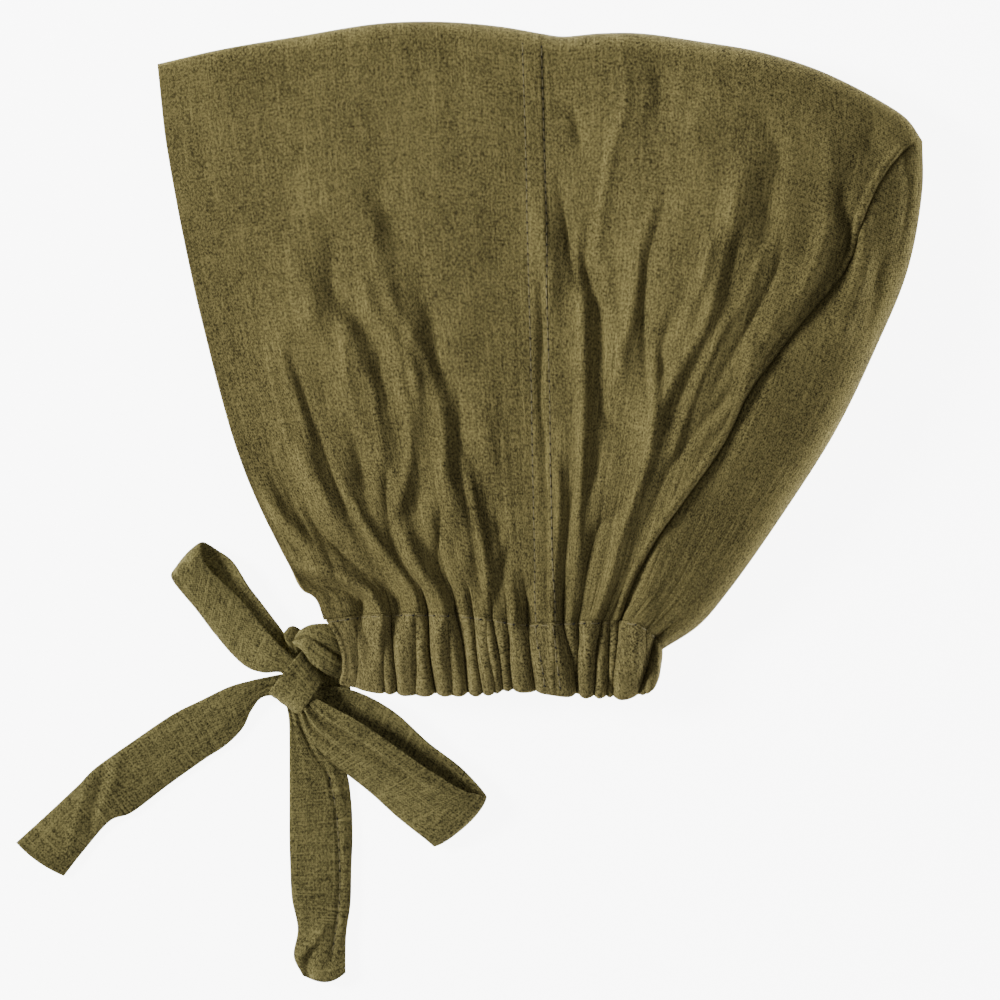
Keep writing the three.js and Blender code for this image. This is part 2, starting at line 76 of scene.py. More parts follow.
# The casing, and the creases that its elastic draws into it and into the crown
CASING_WALL = 1.7
CASING_DROOP = 2
CASING_SCOOP = 3.4
CREASE_AT_STITCHING = 0.6
CREASE_GAIN = 1.9
CASING_CORNER = 0.04
CASING_HEIGHT = 26
NECK_LENGTH = 112
FAR_SHARE = 0.7
STITCHED_IN = 0.12
PUCKER_REACH = 0.13

# Folds, fine unevenness and the back seam's line: heights in millimetres or factors
END_DRAWN_OUT = 0.45
FOLD_GAIN = 2.1
FOLD_STEPS = 26
DRAPE = 0.28
STREAKS = 0.4
SEAM_TURNINGS = 1.5
SEAM_LINE = 2.2

# Ties, stitches and the turned edge at the face
TIE_WALL = 1.3
TIE_RIPPLE = 0.25
STITCH_PITCH = 3.75
STITCH_LENGTH = 3.0
STITCH_RADIUS = 0.26
# Near-black rods between the stitches, painted shade of the needle holes: their length, radius and
# sink
HOLE_SHADE_LENGTH = 1.0
HOLE_SHADE_RADIUS = 0.34
HOLE_SHADE_SINK = 0.05
STITCH_SINK = 0.06
FACE_HEM_WIDTH = 7
FACE_HEM_WALL = 1.1
PANEL_WIDTH = 138

# The photo spans 360 mm and its middle is this point, from the crown's lower left corner
PHOTO_SPAN = 360
PHOTO_MIDDLE = (123.1, 42.5)
CAMERA_DISTANCE = 3000

# Light that the white ground and the sky give
FLOOR_GLOW = 7.5
SKY_STRENGTH = 0.36

# Weave: pitch of its threads in millimetres, and how little relief turns dark into light
THREAD_PITCH = 0.85
CONTRAST = 0.22

# Outlines of the lying crown: x as a share of CROWN_LENGTH, y of CROWN_HEIGHT
FACE_EDGE = [
    (0.218, -0.002), (0.21, 0.028), (0.203, 0.039), (0.191, 0.048), (0.173, 0.089),
    (0.114, 0.249), (0.055, 0.519), (0.013, 0.788), (0.0, 0.929),
]
SIDE_SEAM = [(0.519, -0.006), (0.514, 0.3), (0.507, 0.704), (0.501, 0.98)]
BACK_EDGE = [
    (0.659, -0.05), (0.706, -0.01), (0.744, 0.047), (0.818, 0.182), (0.884, 0.316),
    (0.935, 0.451), (0.978, 0.586), (0.997, 0.721), (0.997, 0.8),
]
FRONT_STITCHING = [
    (0.218, -0.002), (0.29, 0.008), (0.39, 0.008), (0.486, -0.008), (0.519, -0.006),
]
BACK_STITCHING = [
    (0.519, -0.006), (0.58, -0.003), (0.625, -0.007), (0.645, -0.024), (0.659, -0.05),
]
FRONT_TOP = [
    (0.0, 0.929), (0.081, 0.953), (0.186, 0.976), (0.29, 0.997), (0.369, 1.0),
    (0.447, 0.992), (0.501, 0.98),
]
BACK_TOP = [
    (0.501, 0.98), (0.528, 0.975), (0.578, 0.98), (0.63, 0.98), (0.708, 0.966),
    (0.787, 0.948), (0.865, 0.916), (0.944, 0.865), (0.978, 0.835), (0.997, 0.8),
]
CASING_HEM = [
    (0.24, -0.111), (0.276, -0.123), (0.329, -0.133), (0.43, -0.131), (0.486, -0.125),
    (0.54, -0.133), (0.6, -0.138), (0.63, -0.135), (0.645, -0.122), (0.653, -0.1),
]

# Height of the near side as a share of CROWN_DEPTH: rows from the neck to the top fold,
# columns from the left edge of the panel to its right edge
FRONT_HEIGHTS = [
    (0.47, 0.48, 0.5), (0.38, 0.5, 0.58), (0.31, 0.46, 0.58), (0.25, 0.38, 0.5),
    (0.18, 0.26, 0.34),
]
BACK_HEIGHTS = [
    (0.5, 0.52, 0.45), (0.58, 0.76, 0.62), (0.58, 0.9, 0.72), (0.5, 0.84, 0.62),
    (0.34, 0.46, 0.4),
]

# Folds of the near side, a row each: how wide it is and its height at its start, middle and
# end, valleys below zero, all in tenths of a millimetre, then x and y of each point of its
# path in thousandths of CROWN_LENGTH and CROWN_HEIGHT
FOLDS = [
    (29, -19, -16, -8, 198, 64, 244, 47, 260, 38, 268, 30, 269, 17),
    (35, -5, -9, -6, 176, 230, 181, 204, 192, 179),
    (40, 4, 5, 10, 154, 395, 162, 354, 164, 330, 172, 310, 185, 295, 196, 258),
    (37, 5, 6, 10, 188, 581, 197, 556, 201, 517),
    (39, -7, -8, -7, 157, 222, 170, 192, 195, 150, 204, 141),
    (27, 2, 12, 5, 130, 249, 144, 209, 166, 164, 208, 112, 214, 98),
    (27, 4, 8, -1, 165, 444, 166, 426, 215, 258), (40, 5, 8, 9, 196, 251, 207, 231, 217, 210),
    (47, -8, -6, -2, 218, 385, 224, 364, 231, 342),
    (37, 7, 12, 10, 221, 208, 231, 180, 240, 154),
    (24, -4, -10, -6, 179, 421, 184, 407, 196, 360, 231, 239, 246, 192),
    (32, 7, 6, 4, 246, 478, 246, 438, 253, 377, 265, 318),
    (38, -2, -9, -18, 249, 350, 251, 328, 260, 296, 270, 239),
    (26, -10, -6, 0, 269, 23, 267, -8, 277, -49, 270, -106),
    (43, -2, -11, -7, 212, 670, 226, 646, 228, 577, 233, 544, 251, 510, 266, 496, 276, 462),
    (21, -6, -16, -7, 198, 182, 202, 170, 227, 130, 261, 88, 285, 69),
    (47, 6, 8, 10, 226, 703, 230, 699, 248, 695, 277, 671, 285, 627),
    (19, 3, 21, 1, 170, 118, 193, 94, 260, 60, 284, 34, 296, 5, 292, -25, 291, -107),
    (35, -4, -14, -4, 278, 491, 292, 438, 292, 409, 301, 365, 299, 345, 305, 330),
    (35, -1, 9, 4, 276, 596, 276, 529, 292, 498, 302, 473, 306, 445),
    (45, -5, -8, -6, 291, 720, 287, 712, 288, 702, 303, 676, 306, 662),
    (29, 5, 6, 5, 218, 513, 241, 498, 259, 470, 265, 426, 282, 389, 294, 278, 307, 248),
    (21, 4, 8, 9, 309, 468, 313, 460, 320, 384, 328, 357, 331, 305, 326, 234, 314, 185),
    (32, -2, -17, 4, 278, 116, 311, 24, 310, -8, 316, -74),
    (20, 3, 16, 7, 228, 293, 236, 251, 262, 177, 333, 44, 338, 24, 335, 7),
    (29, 6, 15, 4, 329, 463, 326, 449, 338, 401, 341, 352),
    (44, -7, -1, -10, 314, 644, 322, 639, 328, 627, 341, 613, 344, 537, 350, 521),
    (40, -12, -5, -7, 341, 197, 338, 168, 346, 133, 358, 106),
    (22, -11, -6, -2, 301, 237, 300, 202, 313, 113, 338, 57, 353, 13, 356, -57, 362, -116),
    (28, 16, 12, 3, 329, 121, 340, 89, 364, 47, 374, 20, 375, 2, 368, -47, 373, -116),
    (39, -10, -12, -13, 362, 491, 365, 434, 374, 409),
    (26, 7, 6, 9, 301, 554, 312, 515, 339, 461, 361, 397, 375, 311, 375, 244),
    (39, 8, 9, 1, 384, 205, 385, 167, 382, 138), (27, -4, -8, -3, 390, 288, 390, 261, 404, 197),
    (29, 4, 6, 6, 378, 239, 393, 197, 402, 160, 407, 118, 406, 95),
    (20, -10, -11, -1, 370, 163, 368, 91, 392, -3, 402, -24, 408, -123),
    (36, -2, -13, -10, 395, 402, 395, 305, 399, 286, 410, 266),
    (47, 0, -2, -9, 414, 321, 415, 273, 426, 231, 429, 204),
    (41, 2, 5, 9, 424, 355, 430, 318, 433, 281),
    (17, 7, 14, -3, 408, 225, 426, 116, 431, 56, 430, 2, 442, -114),
    (36, -12, -9, -4, 446, 151, 447, 135, 450, 118),
    (24, -8, -10, -3, 458, 109, 446, 54, 451, 19), (26, 1, 13, 2, 458, 37, 466, 5, 456, -25),
    (32, 2, -7, -8, 485, 84, 485, 54, 484, 24),
    (20, -7, -5, -6, 482, 17, 481, 0, 487, -25, 490, -111),
    (22, -8, -8, -4, 502, 549, 504, 458, 502, 424, 502, 347, 506, 316, 507, 231),
    (36, 0, 7, 3, 501, 735, 502, 673, 508, 623, 506, 598, 510, 573),
    (43, 7, 12, 2, 513, 604, 517, 581, 513, 556, 512, 485),
    (46, 4, 5, 7, 526, 367, 526, 283, 522, 269),
    (23, -8, -7, -5, 542, 205, 531, 104, 527, 35, 528, -3),
    (22, 9, 11, 3, 523, 239, 524, 177, 518, 0, 534, -118),
    (23, 13, 15, 4, 555, 522, 556, 335, 549, 155, 552, 103, 546, 29, 535, -19, 540, -33),
    (22, -7, -13, -2, 608, 188, 598, 172, 586, 166, 579, 158, 563, 108, 551, 0, 553, -27),
    (19, -1, -12, -2, 522, 740, 522, 726, 527, 709, 533, 672, 542, 581, 548, 557, 554, 551),
    (27, -1, -11, -3, 541, 858, 549, 818, 557, 778),
    (47, -9, -12, -3, 579, 288, 569, 234, 560, 182),
    (24, -3, -3, -8, 580, 799, 578, 726, 572, 702, 569, 673, 561, 635, 558, 586, 561, 566),
    (21, 12, 12, 4, 647, 422, 648, 343, 640, 268, 610, 160, 582, 27, 571, -2, 565, -45),
    (30, -14, -9, -1, 566, 572, 580, 483, 568, 355, 567, 265),
    (20, 5, 6, 4, 611, 910, 613, 889, 609, 845, 589, 761, 585, 715, 578, 670, 574, 595),
    (24, -7, -6, -7, 748, 375, 679, 274, 631, 140, 598, 5, 585, -108, 597, -120),
    (35, -5, -14, -13, 586, 426, 589, 409, 580, 369, 579, 354, 587, 335, 599, 320),
    (22, 3, 6, 8, 588, 574, 587, 552, 590, 522, 605, 434, 605, 416, 599, 401),
    (29, -8, -8, -7, 905, 616, 904, 591, 890, 556, 805, 431, 727, 263, 643, 116, 604, -6),
    (27, 3, 10, 8, 639, 665, 628, 626, 627, 594, 618, 502, 608, 457),
    (34, 6, 12, 10, 634, 41, 641, 34, 642, 27, 626, -29, 624, -77),
    (23, -11, -9, -2, 647, -56, 642, -86, 631, -119),
    (25, 6, 9, 6, 730, 286, 670, 178, 651, 150, 635, 116),
    (37, 0, 10, 9, 626, 380, 637, 335, 638, 320),
    (22, -3, -11, -9, 662, 715, 660, 682, 641, 606, 634, 545, 633, 512, 641, 389),
    (39, -9, -7, -7, 656, 894, 657, 857, 652, 846),
    (22, 4, 11, 6, 751, 710, 751, 652, 743, 630, 714, 490, 681, 421, 657, 354),
    (26, -2, -9, -7, 687, 528, 685, 519, 674, 505, 658, 455, 658, 414),
    (26, -6, -10, -7, 702, 429, 687, 384, 671, 339),
    (14, 5, 6, 7, 782, 592, 761, 524, 742, 497, 698, 375, 672, 280),
    (47, 0, 9, -1, 714, 872, 706, 837, 698, 818, 695, 795, 680, 771),
    (27, 4, 8, 3, 742, 660, 734, 638, 721, 624, 718, 599, 705, 545, 692, 512, 691, 495),
    (25, 13, 6, 5, 773, 436, 773, 424, 748, 357, 703, 298),
    (18, -3, -8, -3, 814, 629, 811, 601, 797, 556, 731, 395),
    (33, 0, -11, -9, 767, 638, 758, 629, 754, 621, 739, 556),
    (39, -7, -5, -4, 794, 693, 797, 665, 789, 630, 775, 599, 758, 549, 753, 541),
    (28, -17, -17, 0, 884, 698, 885, 677, 899, 643, 886, 584, 792, 433, 755, 352),
    (47, 0, 8, 9, 772, 796, 764, 744, 761, 704),
    (30, 3, 13, 10, 823, 529, 804, 503, 791, 460, 784, 445),
    (43, -3, -11, -4, 771, 829, 779, 837, 788, 834, 801, 806, 808, 779, 808, 731, 803, 684),
    (47, 9, 4, 4, 838, 570, 827, 566, 812, 549),
    (32, 3, 14, 12, 864, 868, 856, 835, 873, 795, 874, 677, 860, 601, 824, 505),
    (24, 2, 10, 2, 961, 766, 942, 731, 927, 690, 912, 635, 912, 604, 907, 576, 884, 527),
    (36, 6, 5, 12, 906, 552, 899, 529, 894, 490),
    (30, 4, 8, 2, 924, 650, 924, 616, 919, 569, 905, 512),
    (26, -5, -11, -8, 944, 599, 940, 592, 935, 537, 929, 504),
    (42, -5, -10, -1, 935, 821, 929, 792, 957, 776),
    (17, -7, -11, -4, 975, 779, 974, 769, 979, 719, 972, 657, 963, 611, 963, 586),
]
# The back seam rolls onto the near side: a thin line with its turnings beside it
BACK_SEAM = [
    (0.996, 0.803), (0.97, 0.779), (0.94, 0.726), (0.927, 0.692), (0.914, 0.648),
    (0.91, 0.614), (0.902, 0.591), (0.882, 0.557), (0.852, 0.513), (0.83, 0.48),
    (0.796, 0.423), (0.77, 0.379), (0.744, 0.305), (0.708, 0.236), (0.652, 0.135),
    (0.617, 0.047), (0.605, -0.004),
]

# Creases of the gathered casing: x at the stitching and at the hem, as shares of
# CROWN_LENGTH, then width and depth in millimetres
CASING_CREASES = [
    (0.259, 0.261, 3.0, 0.5), (0.297, 0.298, 1.0, 1.2), (0.305, 0.311, 0.9, 2.6),
    (0.336, 0.337, 2.4, 1.4), (0.354, 0.363, 0.9, 3.2), (0.378, 0.380, 1.8, 1.2),
    (0.391, 0.403, 1.1, 3.2), (0.413, 0.422, 0.9, 2.8), (0.430, 0.433, 0.8, 1.2),
    (0.437, 0.446, 0.9, 2.8), (0.458, 0.460, 1.0, 2.6), (0.484, 0.486, 0.9, 1.4),
    (0.529, 0.537, 0.9, 2.4), (0.546, 0.544, 0.8, 2.4), (0.574, 0.559, 1.0, 3.2),
    (0.583, 0.574, 0.8, 2.4), (0.595, 0.586, 0.9, 2.4), (0.627, 0.625, 1.2, 0.8),
    (0.644, 0.614, 1.5, 3.0),
]

# Ribbons of tie, outwards from the knot. Each row holds a point of the left edge and one
# of the right edge, as x and y from the crown's lower left corner and the height, all in
# tenths of a millimetre.
UPPER_LOOP = [
    (495, -230, 24, 520, -135, 24), (449, -195, 30, 485, -128, 30),
    (410, -159, 22, 457, -58, 35), (338, -83, 12, 403, 18, 52), (252, 14, 10, 334, 108, 54),
    (162, 112, 10, 273, 202, 46), (93, 169, 16, 216, 245, 36), (54, 162, 36, 165, 274, 48),
    (58, 130, 56, 155, 249, 80), (137, 32, 42, 180, 187, 90), (203, -54, 28, 244, 122, 86),
    (270, -133, 22, 313, 54, 82), (320, -177, 26, 377, -25, 80), (381, -196, 40, 439, -94, 86),
    (442, -195, 55, 489, -134, 75), (490, -230, 50, 515, -150, 60),
]
LOWER_LOOP = [
    (510, -252, 34, 482, -295, 30), (600, -245, 50, 528, -339, 24),
    (679, -252, 62, 575, -432, 12), (769, -285, 66, 654, -519, 10),
    (866, -346, 64, 744, -602, 10), (971, -443, 60, 841, -685, 10),
    (1096, -540, 54, 942, -775, 12), (1183, -638, 60, 992, -821, 26),
    (1143, -630, 92, 960, -793, 48), (1089, -612, 102, 863, -717, 38),
    (960, -533, 110, 776, -638, 32), (834, -443, 114, 672, -555, 28),
    (721, -367, 110, 590, -486, 28), (636, -321, 100, 536, -422, 34),
    (568, -285, 84, 510, -342, 50),
]
LEFT_END = [
    (449, -277, 30, 475, -195, 30), (377, -285, 32, 403, -209, 44),
    (338, -331, 24, 338, -223, 52), (306, -396, 18, 259, -245, 46),
    (244, -458, 14, 155, -295, 32), (162, -512, 12, 50, -348, 20),
    (36, -602, 13, -86, -440, 14), (-93, -699, 16, -223, -537, 16),
    (-173, -731, 18, -288, -602, 20), (-266, -836, 16, -399, -706, 16),
    (-338, -928, 20, -510, -807, 24),
]
DOWN_END = [
    (521, -313, 30, 457, -295, 30), (546, -382, 22, 471, -360, 30),
    (611, -468, 16, 473, -458, 26), (676, -548, 14, 473, -566, 20),
    (696, -656, 15, 473, -674, 16), (701, -782, 18, 473, -796, 14),
    (697, -901, 20, 476, -901, 14), (694, -1023, 22, 482, -1009, 16),
    (679, -1131, 26, 503, -1117, 24), (676, -1218, 30, 489, -1214, 24),
    (676, -1275, 34, 521, -1286, 26),
]
WRAP = [
    (532, -126, 16, 590, -209, 16), (525, -115, 54, 600, -227, 54),
    (510, -126, 90, 588, -241, 88), (460, -187, 104, 557, -285, 98),
    (421, -238, 92, 532, -321, 84), (399, -267, 56, 510, -346, 46),
    (410, -259, 16, 507, -335, 14),
]
ROOT_UPPER = [
    (676, -166, 96, 658, -43, 102), (647, -148, 104, 622, -20, 112),
    (611, -115, 108, 582, -18, 112), (572, -90, 106, 550, -22, 106),
    (543, -79, 100, 525, -34, 90), (521, -83, 86, 507, -52, 76), (514, -101, 70, 498, -79, 60),
    (518, -119, 50, 496, -112, 44),
]
ROOT_LOWER = [
    (643, -216, 66, 676, -159, 90), (618, -205, 88, 647, -137, 128),
    (590, -187, 106, 611, -112, 142), (554, -159, 114, 572, -85, 140),
    (528, -122, 116, 539, -68, 130), (510, -101, 106, 514, -76, 114),
    (500, -88, 82, 500, -77, 86),
]
ROOT_FAR = [
    (697, -281, 18, 683, -166, 22), (640, -285, 18, 633, -144, 24),
    (575, -263, 22, 586, -108, 30), (521, -195, 28, 543, -72, 42),
    (485, -133, 40, 514, -40, 56), (464, -90, 54, 489, -27, 64), (453, -54, 56, 471, -31, 62),
]

# Ridges and valleys along a ribbon: start and end as shares of its length, the side at both
# from -1 at the left edge to 1, the width on that scale, and the height in millimetres
LOOP_RIDGES = [
    (0.58, 1.03, -0.72, -0.5, 0.16, 1.4), (0.64, 1.03, -0.42, -0.12, 0.12, -1.6),
    (0.76, 1.03, 0, 0.2, 0.14, 1.1), (0.78, 1.03, 0.34, 0.52, 0.12, -1.5),
]
END_LEFT_RIDGES = [
    (0.56, 0.78, 1, -0.7, 0.3, 0.8), (0.62, 0.84, 1, -0.9, 0.22, -0.8),
    (0.7, 0.94, 0.9, -0.8, 0.25, 0.7), (0.3, 0.55, -0.5, 0.2, 0.2, -0.35),
]
END_DOWN_RIDGES = [
    (0.06, 0.36, 0.1, -0.55, 0.12, -0.8), (0.1, 0.4, -0.2, -0.75, 0.14, 0.7),
    (0.8, 0.97, -0.3, 1, 0.2, 1), (0.88, 1.04, 0.2, 1, 0.22, -1.6),
]

# Stitched seam along the tie end that hangs down
DOWN_SEAM = [
    (60, -51.9), (62.9, -62.3), (64.7, -74.9), (65.4, -100.2), (63.6, -115.3),
    (62.5, -122.1),
]


def smoothstep(t):
    c = np.clip(t, 0, 1)
    return c * c * (3 - 2 * c)


def quarter_round(distance, reach):
    left = 1 - np.minimum(distance / reach, 1)
    return np.sqrt(np.maximum(1 - left * left, 0))


def unit(vectors):
    return vectors / np.maximum(np.linalg.norm(vectors, axis=-1, keepdims=True), 1e-9)


def reach_along(points):
    """How far along a chain of points each of them lies."""
    return np.concatenate([[0], np.cumsum(np.linalg.norm(np.diff(points, axis=0), axis=-1))])


def hermite(a, b, slope_a, slope_b, t):
    """Cubic from a to b with these slopes at its ends."""
    return ((2 * t**3 - 3 * t**2 + 1) * a + (t**3 - 2 * t**2 + t) * slope_a
            + (3 * t**2 - 2 * t**3) * b + (t**3 - t**2) * slope_b)


class Line:
    """Smooth line through a few points, read at shares of its length."""

    def __init__(self, points, steps=40):
        p = np.array(points, float)
        p = np.vstack([2 * p[0] - p[1], p, 2 * p[-1] - p[-2]])
        run = [p[1][None]]
        for a, b, c, d in zip(p[:-3], p[1:-2], p[2:-1], p[3:]):
            ab, bc, cd = (math.sqrt(np.linalg.norm(e)) for e in (b - a, c - b, d - c))
            start = ((b - a) / ab - (c - a) / (ab + bc) + (c - b) / bc) * bc
            end = ((c - b) / bc - (d - b) / (bc + cd) + (d - c) / cd) * bc
            t = np.linspace(0, 1, steps + 1)[1:, None]
            run.append(b + start * t + (3 * (c - b) - 2 * start - end) * t**2
                       + (2 * (b - c) + start + end) * t**3)
        self.points = np.vstack(run)
        self.reach = reach_along(self.points)
        self.length = self.reach[-1]

    def at(self, share):
        place = np.clip(share, 0, 1) * self.length
        return np.stack([np.interp(place, self.reach, c) for c in self.points.T], -1)

    def heading(self, share):
        step = self.at(np.minimum(share + 1e-3, 1)) - self.at(np.maximum(share - 1e-3, 0))
        return unit(step)


def plan(shares):
    return Line([(x * CROWN_LENGTH, y * CROWN_HEIGHT) for x, y in shares])


def along_row(values, t):
    """Value of evenly spaced numbers (last axis) at a share t, without corners."""
    values = np.asarray(values, float)
    last = values.shape[-1] - 1
    place = np.clip(t, 0, 1) * last
    i = np.minimum(np.floor(place).astype(int), last - 1)
    rows = np.broadcast_to(values, i.shape + (last + 1,))
    pick = lambda k: np.take_along_axis(rows, np.clip(k, 0, last)[..., None], -1)[..., 0]
    a, b = pick(i), pick(i + 1)
    return hermite(a, b, (b - pick(i - 1)) / 2, (pick(i + 2) - a) / 2, place - i)


def lattice_noise(x, y, seed):
    """Smooth noise from -1 to 1 with one bump for each unit of x and y."""
    table = np.random.default_rng(seed).uniform(-1, 1, (64, 64))
    i, j = np.floor(x).astype(int), np.floor(y).astype(int)
    f, g = smoothstep(x - i), smoothstep(y - j)
    cell = lambda a, b: table[(i + a) % 64, (j + b) % 64]
    low = cell(0, 0) * (1 - f) + cell(1, 0) * f
    return low * (1 - g) + (cell(0, 1) * (1 - f) + cell(1, 1) * f) * g


def path_distance(path, x, y):
    """Signed distance of plan points from a path, right of it positive, and the share
    of the path at which they lie."""
    points = path.at(np.linspace(0, 1, FOLD_STEPS))
    best, side, share = np.full(x.shape, 1e9), np.ones(x.shape), np.zeros(x.shape)
    for k, (a, b) in enumerate(zip(points[:-1], points[1:])):
        run = b - a
        ahead = ((x - a[0]) * run[0] + (y - a[1]) * run[1]) / run.dot(run)
        t = np.clip(ahead, 0, 1)
        beyond = (ahead - t) * math.hypot(*run)
        outside = (beyond < 0) & (k == 0) | (beyond > 0) & (k == len(points) - 2)
        across = np.abs((x - a[0]) * run[1] - (y - a[1]) * run[0]) / math.hypot(*run)
        away = np.hypot(across, np.where(outside, END_DRAWN_OUT, 1) * beyond)
        closer = away < best
        best = np.where(closer, away, best)
        turn = run[0] * (y - a[1]) - run[1] * (x - a[0])
        side = np.where(closer, np.where(turn > 0, 1, -1), side)
        share = np.where(closer, (k + t) / (len(points) - 1), share)
    return best * side, share


def hump(away, wide, power=2):
    """Smooth rise to 1 where away is 0."""
    return np.exp(-(np.abs(away / wide) ** power))


def fold_relief(x, y):
    """Height in millimetres of all folds at plan points."""
    height = np.zeros(x.shape)
    for row in FOLDS:
        wide, *heights = np.divide(row[:4], 10)
        away, share = path_distance(plan(np.reshape(row[4:], (-1, 2)) / 1000), x, y)
        height += np.interp(share, (0, 0.5, 1), heights) * hump(away, wide, 1.6)
    return FOLD_GAIN * height


def crease(away, wide, deep):
    """Valley with a long left flank and a short right one."""
    flank = wide * np.where(away < 0, 1.5, 0.8)
    return CREASE_GAIN * deep * hump(away, flank, 1)


class Panel:
    """One half of the crown, drawn between four outlines."""

    def __init__(self, neck, top, left, right, heights, closed):
        self.neck, self.top, self.left, self.right = map(plan, (neck, top, left, right))
        self.heights, self.closed = heights, closed
        self.start, self.end = neck[0][0], neck[-1][0]
        self.neck_length = (self.end - self.start) * CROWN_LENGTH
        self.creases = [((top_x - self.start) * CROWN_LENGTH, wide, deep)
                        for top_x, _, wide, deep in CASING_CREASES]

    def place(self, across, up):
        a, u = across[..., None], up[..., None]
        corner = lambda line, share: line.at(np.array(share, float))
        return (
            (1 - u) * self.neck.at(across) + u * self.top.at(across)
            + (1 - a) * self.left.at(up) + a * self.right.at(up)
            - (1 - a) * (1 - u) * corner(self.neck, 0) - a * (1 - u) * corner(self.neck, 1)
            - (1 - a) * u * corner(self.top, 0) - a * u * corner(self.top, 1)
        )

    def base(self, near, across, up):
        columns = np.stack([along_row([r[i] for r in self.heights], up) for i in range(3)], -1)
        full = along_row(columns, across) * CROWN_DEPTH
        width = np.linalg.norm(self.right.at(up) - self.left.at(up), axis=-1)
        roll_reach = np.minimum(BACK_ROLL_REACH, 0.2 * width)
        from_back = (1 - across) * width if self.closed else np.full(across.shape, 1e3)
        opened = quarter_round((1 - up) * CROWN_HEIGHT, TOP_FOLD_REACH)
        opened = opened * quarter_round(from_back, roll_reach)
        roll = smoothstep(across * 1.25) * (0.55 + 0.45 * smoothstep(up * 4)) * self.closed
        edge = TOP_FOLD_RISE + (BACK_ROLL_RISE - TOP_FOLD_RISE) * roll
        rest = FRAME_WALL / 2
        low = rest + (CASING_WALL / 2 - rest) * smoothstep(1 - up / PUCKER_REACH)
        return edge + (full - edge) * opened if near else low + (edge - low) * (1 - opened)

    def pucker(self, across, up):
        """Small creases drawn in by the elastic, of uneven length."""
        total = np.zeros(across.shape)
        for k, (at, wide, deep) in enumerate(self.creases):
            reach = PUCKER_REACH * (0.4 + 0.8 * ((k * 0.618) % 1))
            away = across * self.neck_length - at - 2.4 * np.sin(9 * up + k) * up
            fade = np.maximum(1 - up / reach, 0) ** 1.3
            total += fade * crease(away, wide * (1 + 3.0 * up), deep)
        return CREASE_AT_STITCHING * total

    def points(self, near, across, up):
        place = self.place(across, up)
        x, y = place[..., 0], place[..., 1]
        z = self.base(near, across, up)
        edge = smoothstep((1 - across) / 0.12) if self.closed else 1
        pucker = self.pucker(across, up) * edge
        drape = lattice_noise(x / 9 + 40, y / 34 + 7, 5) + 0.6 * lattice_noise(x / 4.2, y / 21, 8)
        if near:
            calm = smoothstep((1 - up) / 0.05) * edge
            z = z + fold_relief(x, y) * calm - pucker
            z = z + DRAPE * drape * calm * smoothstep(up / 0.05)
            streaks = (lattice_noise(across * 46 + 3, up * 4.5, 31)
                       + 0.7 * lattice_noise(across * 85, up * 8, 33))
            z = z + STREAKS * np.exp(-up / 0.4) * streaks * edge * smoothstep(up / 0.03)
            if self.closed:
                z = z + back_seam_relief(x, y)
            z = z + seam_strip_relief(x, y)
            z = z - STITCHED_IN * hump(up * CROWN_HEIGHT, 1)
        else:
            z = z + FAR_SHARE * pucker
        return np.stack([x, y, z], -1)


def back_seam_relief(x, y):
    away, share = path_distance(plan(BACK_SEAM), x, y)
    turnings = SEAM_TURNINGS * hump(away + 1.5, 0.9)
    return (turnings - SEAM_LINE * hump(away, 0.7, 1.5)) * smoothstep(share / 0.04)


def seam_strip_relief(x, y):
    """The side seam: a raised strip on its face side, with a ridge, a groove and stitching."""
    seam = FRONT.right.points
    away = x - np.interp(y, seam[:, 1], seam[:, 0])
    inside = smoothstep((away + SEAM_STRIP_WIDTH + 1.2) / 1.2) * smoothstep(1 - away / 0.8)
    ridge, groove = 0.3 * hump(away + 0.9, 0.5), 0.25 * hump(away, 0.5)
    stitched = 0.35 * hump(away + SEAM_STRIP_WIDTH, 0.7)
    return SEAM_STRIP_RISE * inside + ridge - groove - stitched


FRONT = Panel(FRONT_STITCHING, FRONT_TOP, FACE_EDGE, SIDE_SEAM, FRONT_HEIGHTS, False)
BACK = Panel(BACK_STITCHING, BACK_TOP, SIDE_SEAM, BACK_EDGE, BACK_HEIGHTS, True)


def frame_shift():
    """From the crown's own corner to the frame's origin."""
    low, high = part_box("front_panel")
    left = FRONT.left.points[:, 0].min()
    top = FRONT.top.points[:, 1].max() + FRAME_WALL / 2
    return np.array([low.x / MM - left, high.y / MM - top, 0])


SHIFT = frame_shift()


def mesh_object(name, verts, faces, uv=None):
    """Mesh from arrays in millimetres; faces is an array of quads."""
    mesh = bpy.data.meshes.new(name)
    faces = np.asarray(faces, np.int32)
    mesh.vertices.add(len(verts))
    mesh.vertices.foreach_set("co", ((verts + SHIFT) * MM).astype(np.float32).ravel())
    mesh.loops.add(faces.size)
    mesh.loops.foreach_set("vertex_index", faces.ravel())
    mesh.polygons.add(len(faces))
    mesh.polygons.foreach_set("loop_start", np.arange(0, faces.size, faces.shape[1]))
    mesh.polygons.foreach_set("use_smooth", np.full(len(faces), True))
    if uv is not None:
        layer = mesh.uv_layers.new(name="cloth")
        layer.data.foreach_set("uv", uv[faces.ravel()].astype(np.float32).ravel())
    mesh.update(calc_edges=True)
    mesh.validate()
    obj = bpy.data.objects.new(name, mesh)
    bpy.context.collection.objects.link(obj)
    return obj


def grid_faces(number, flipped=False):
    corners = number[:-1, :-1], number[1:, :-1], number[1:, 1:], number[:-1, 1:]
    quads = np.stack(corners, -1).reshape(-1, 4)
    return quads[:, ::-1] if flipped else quads


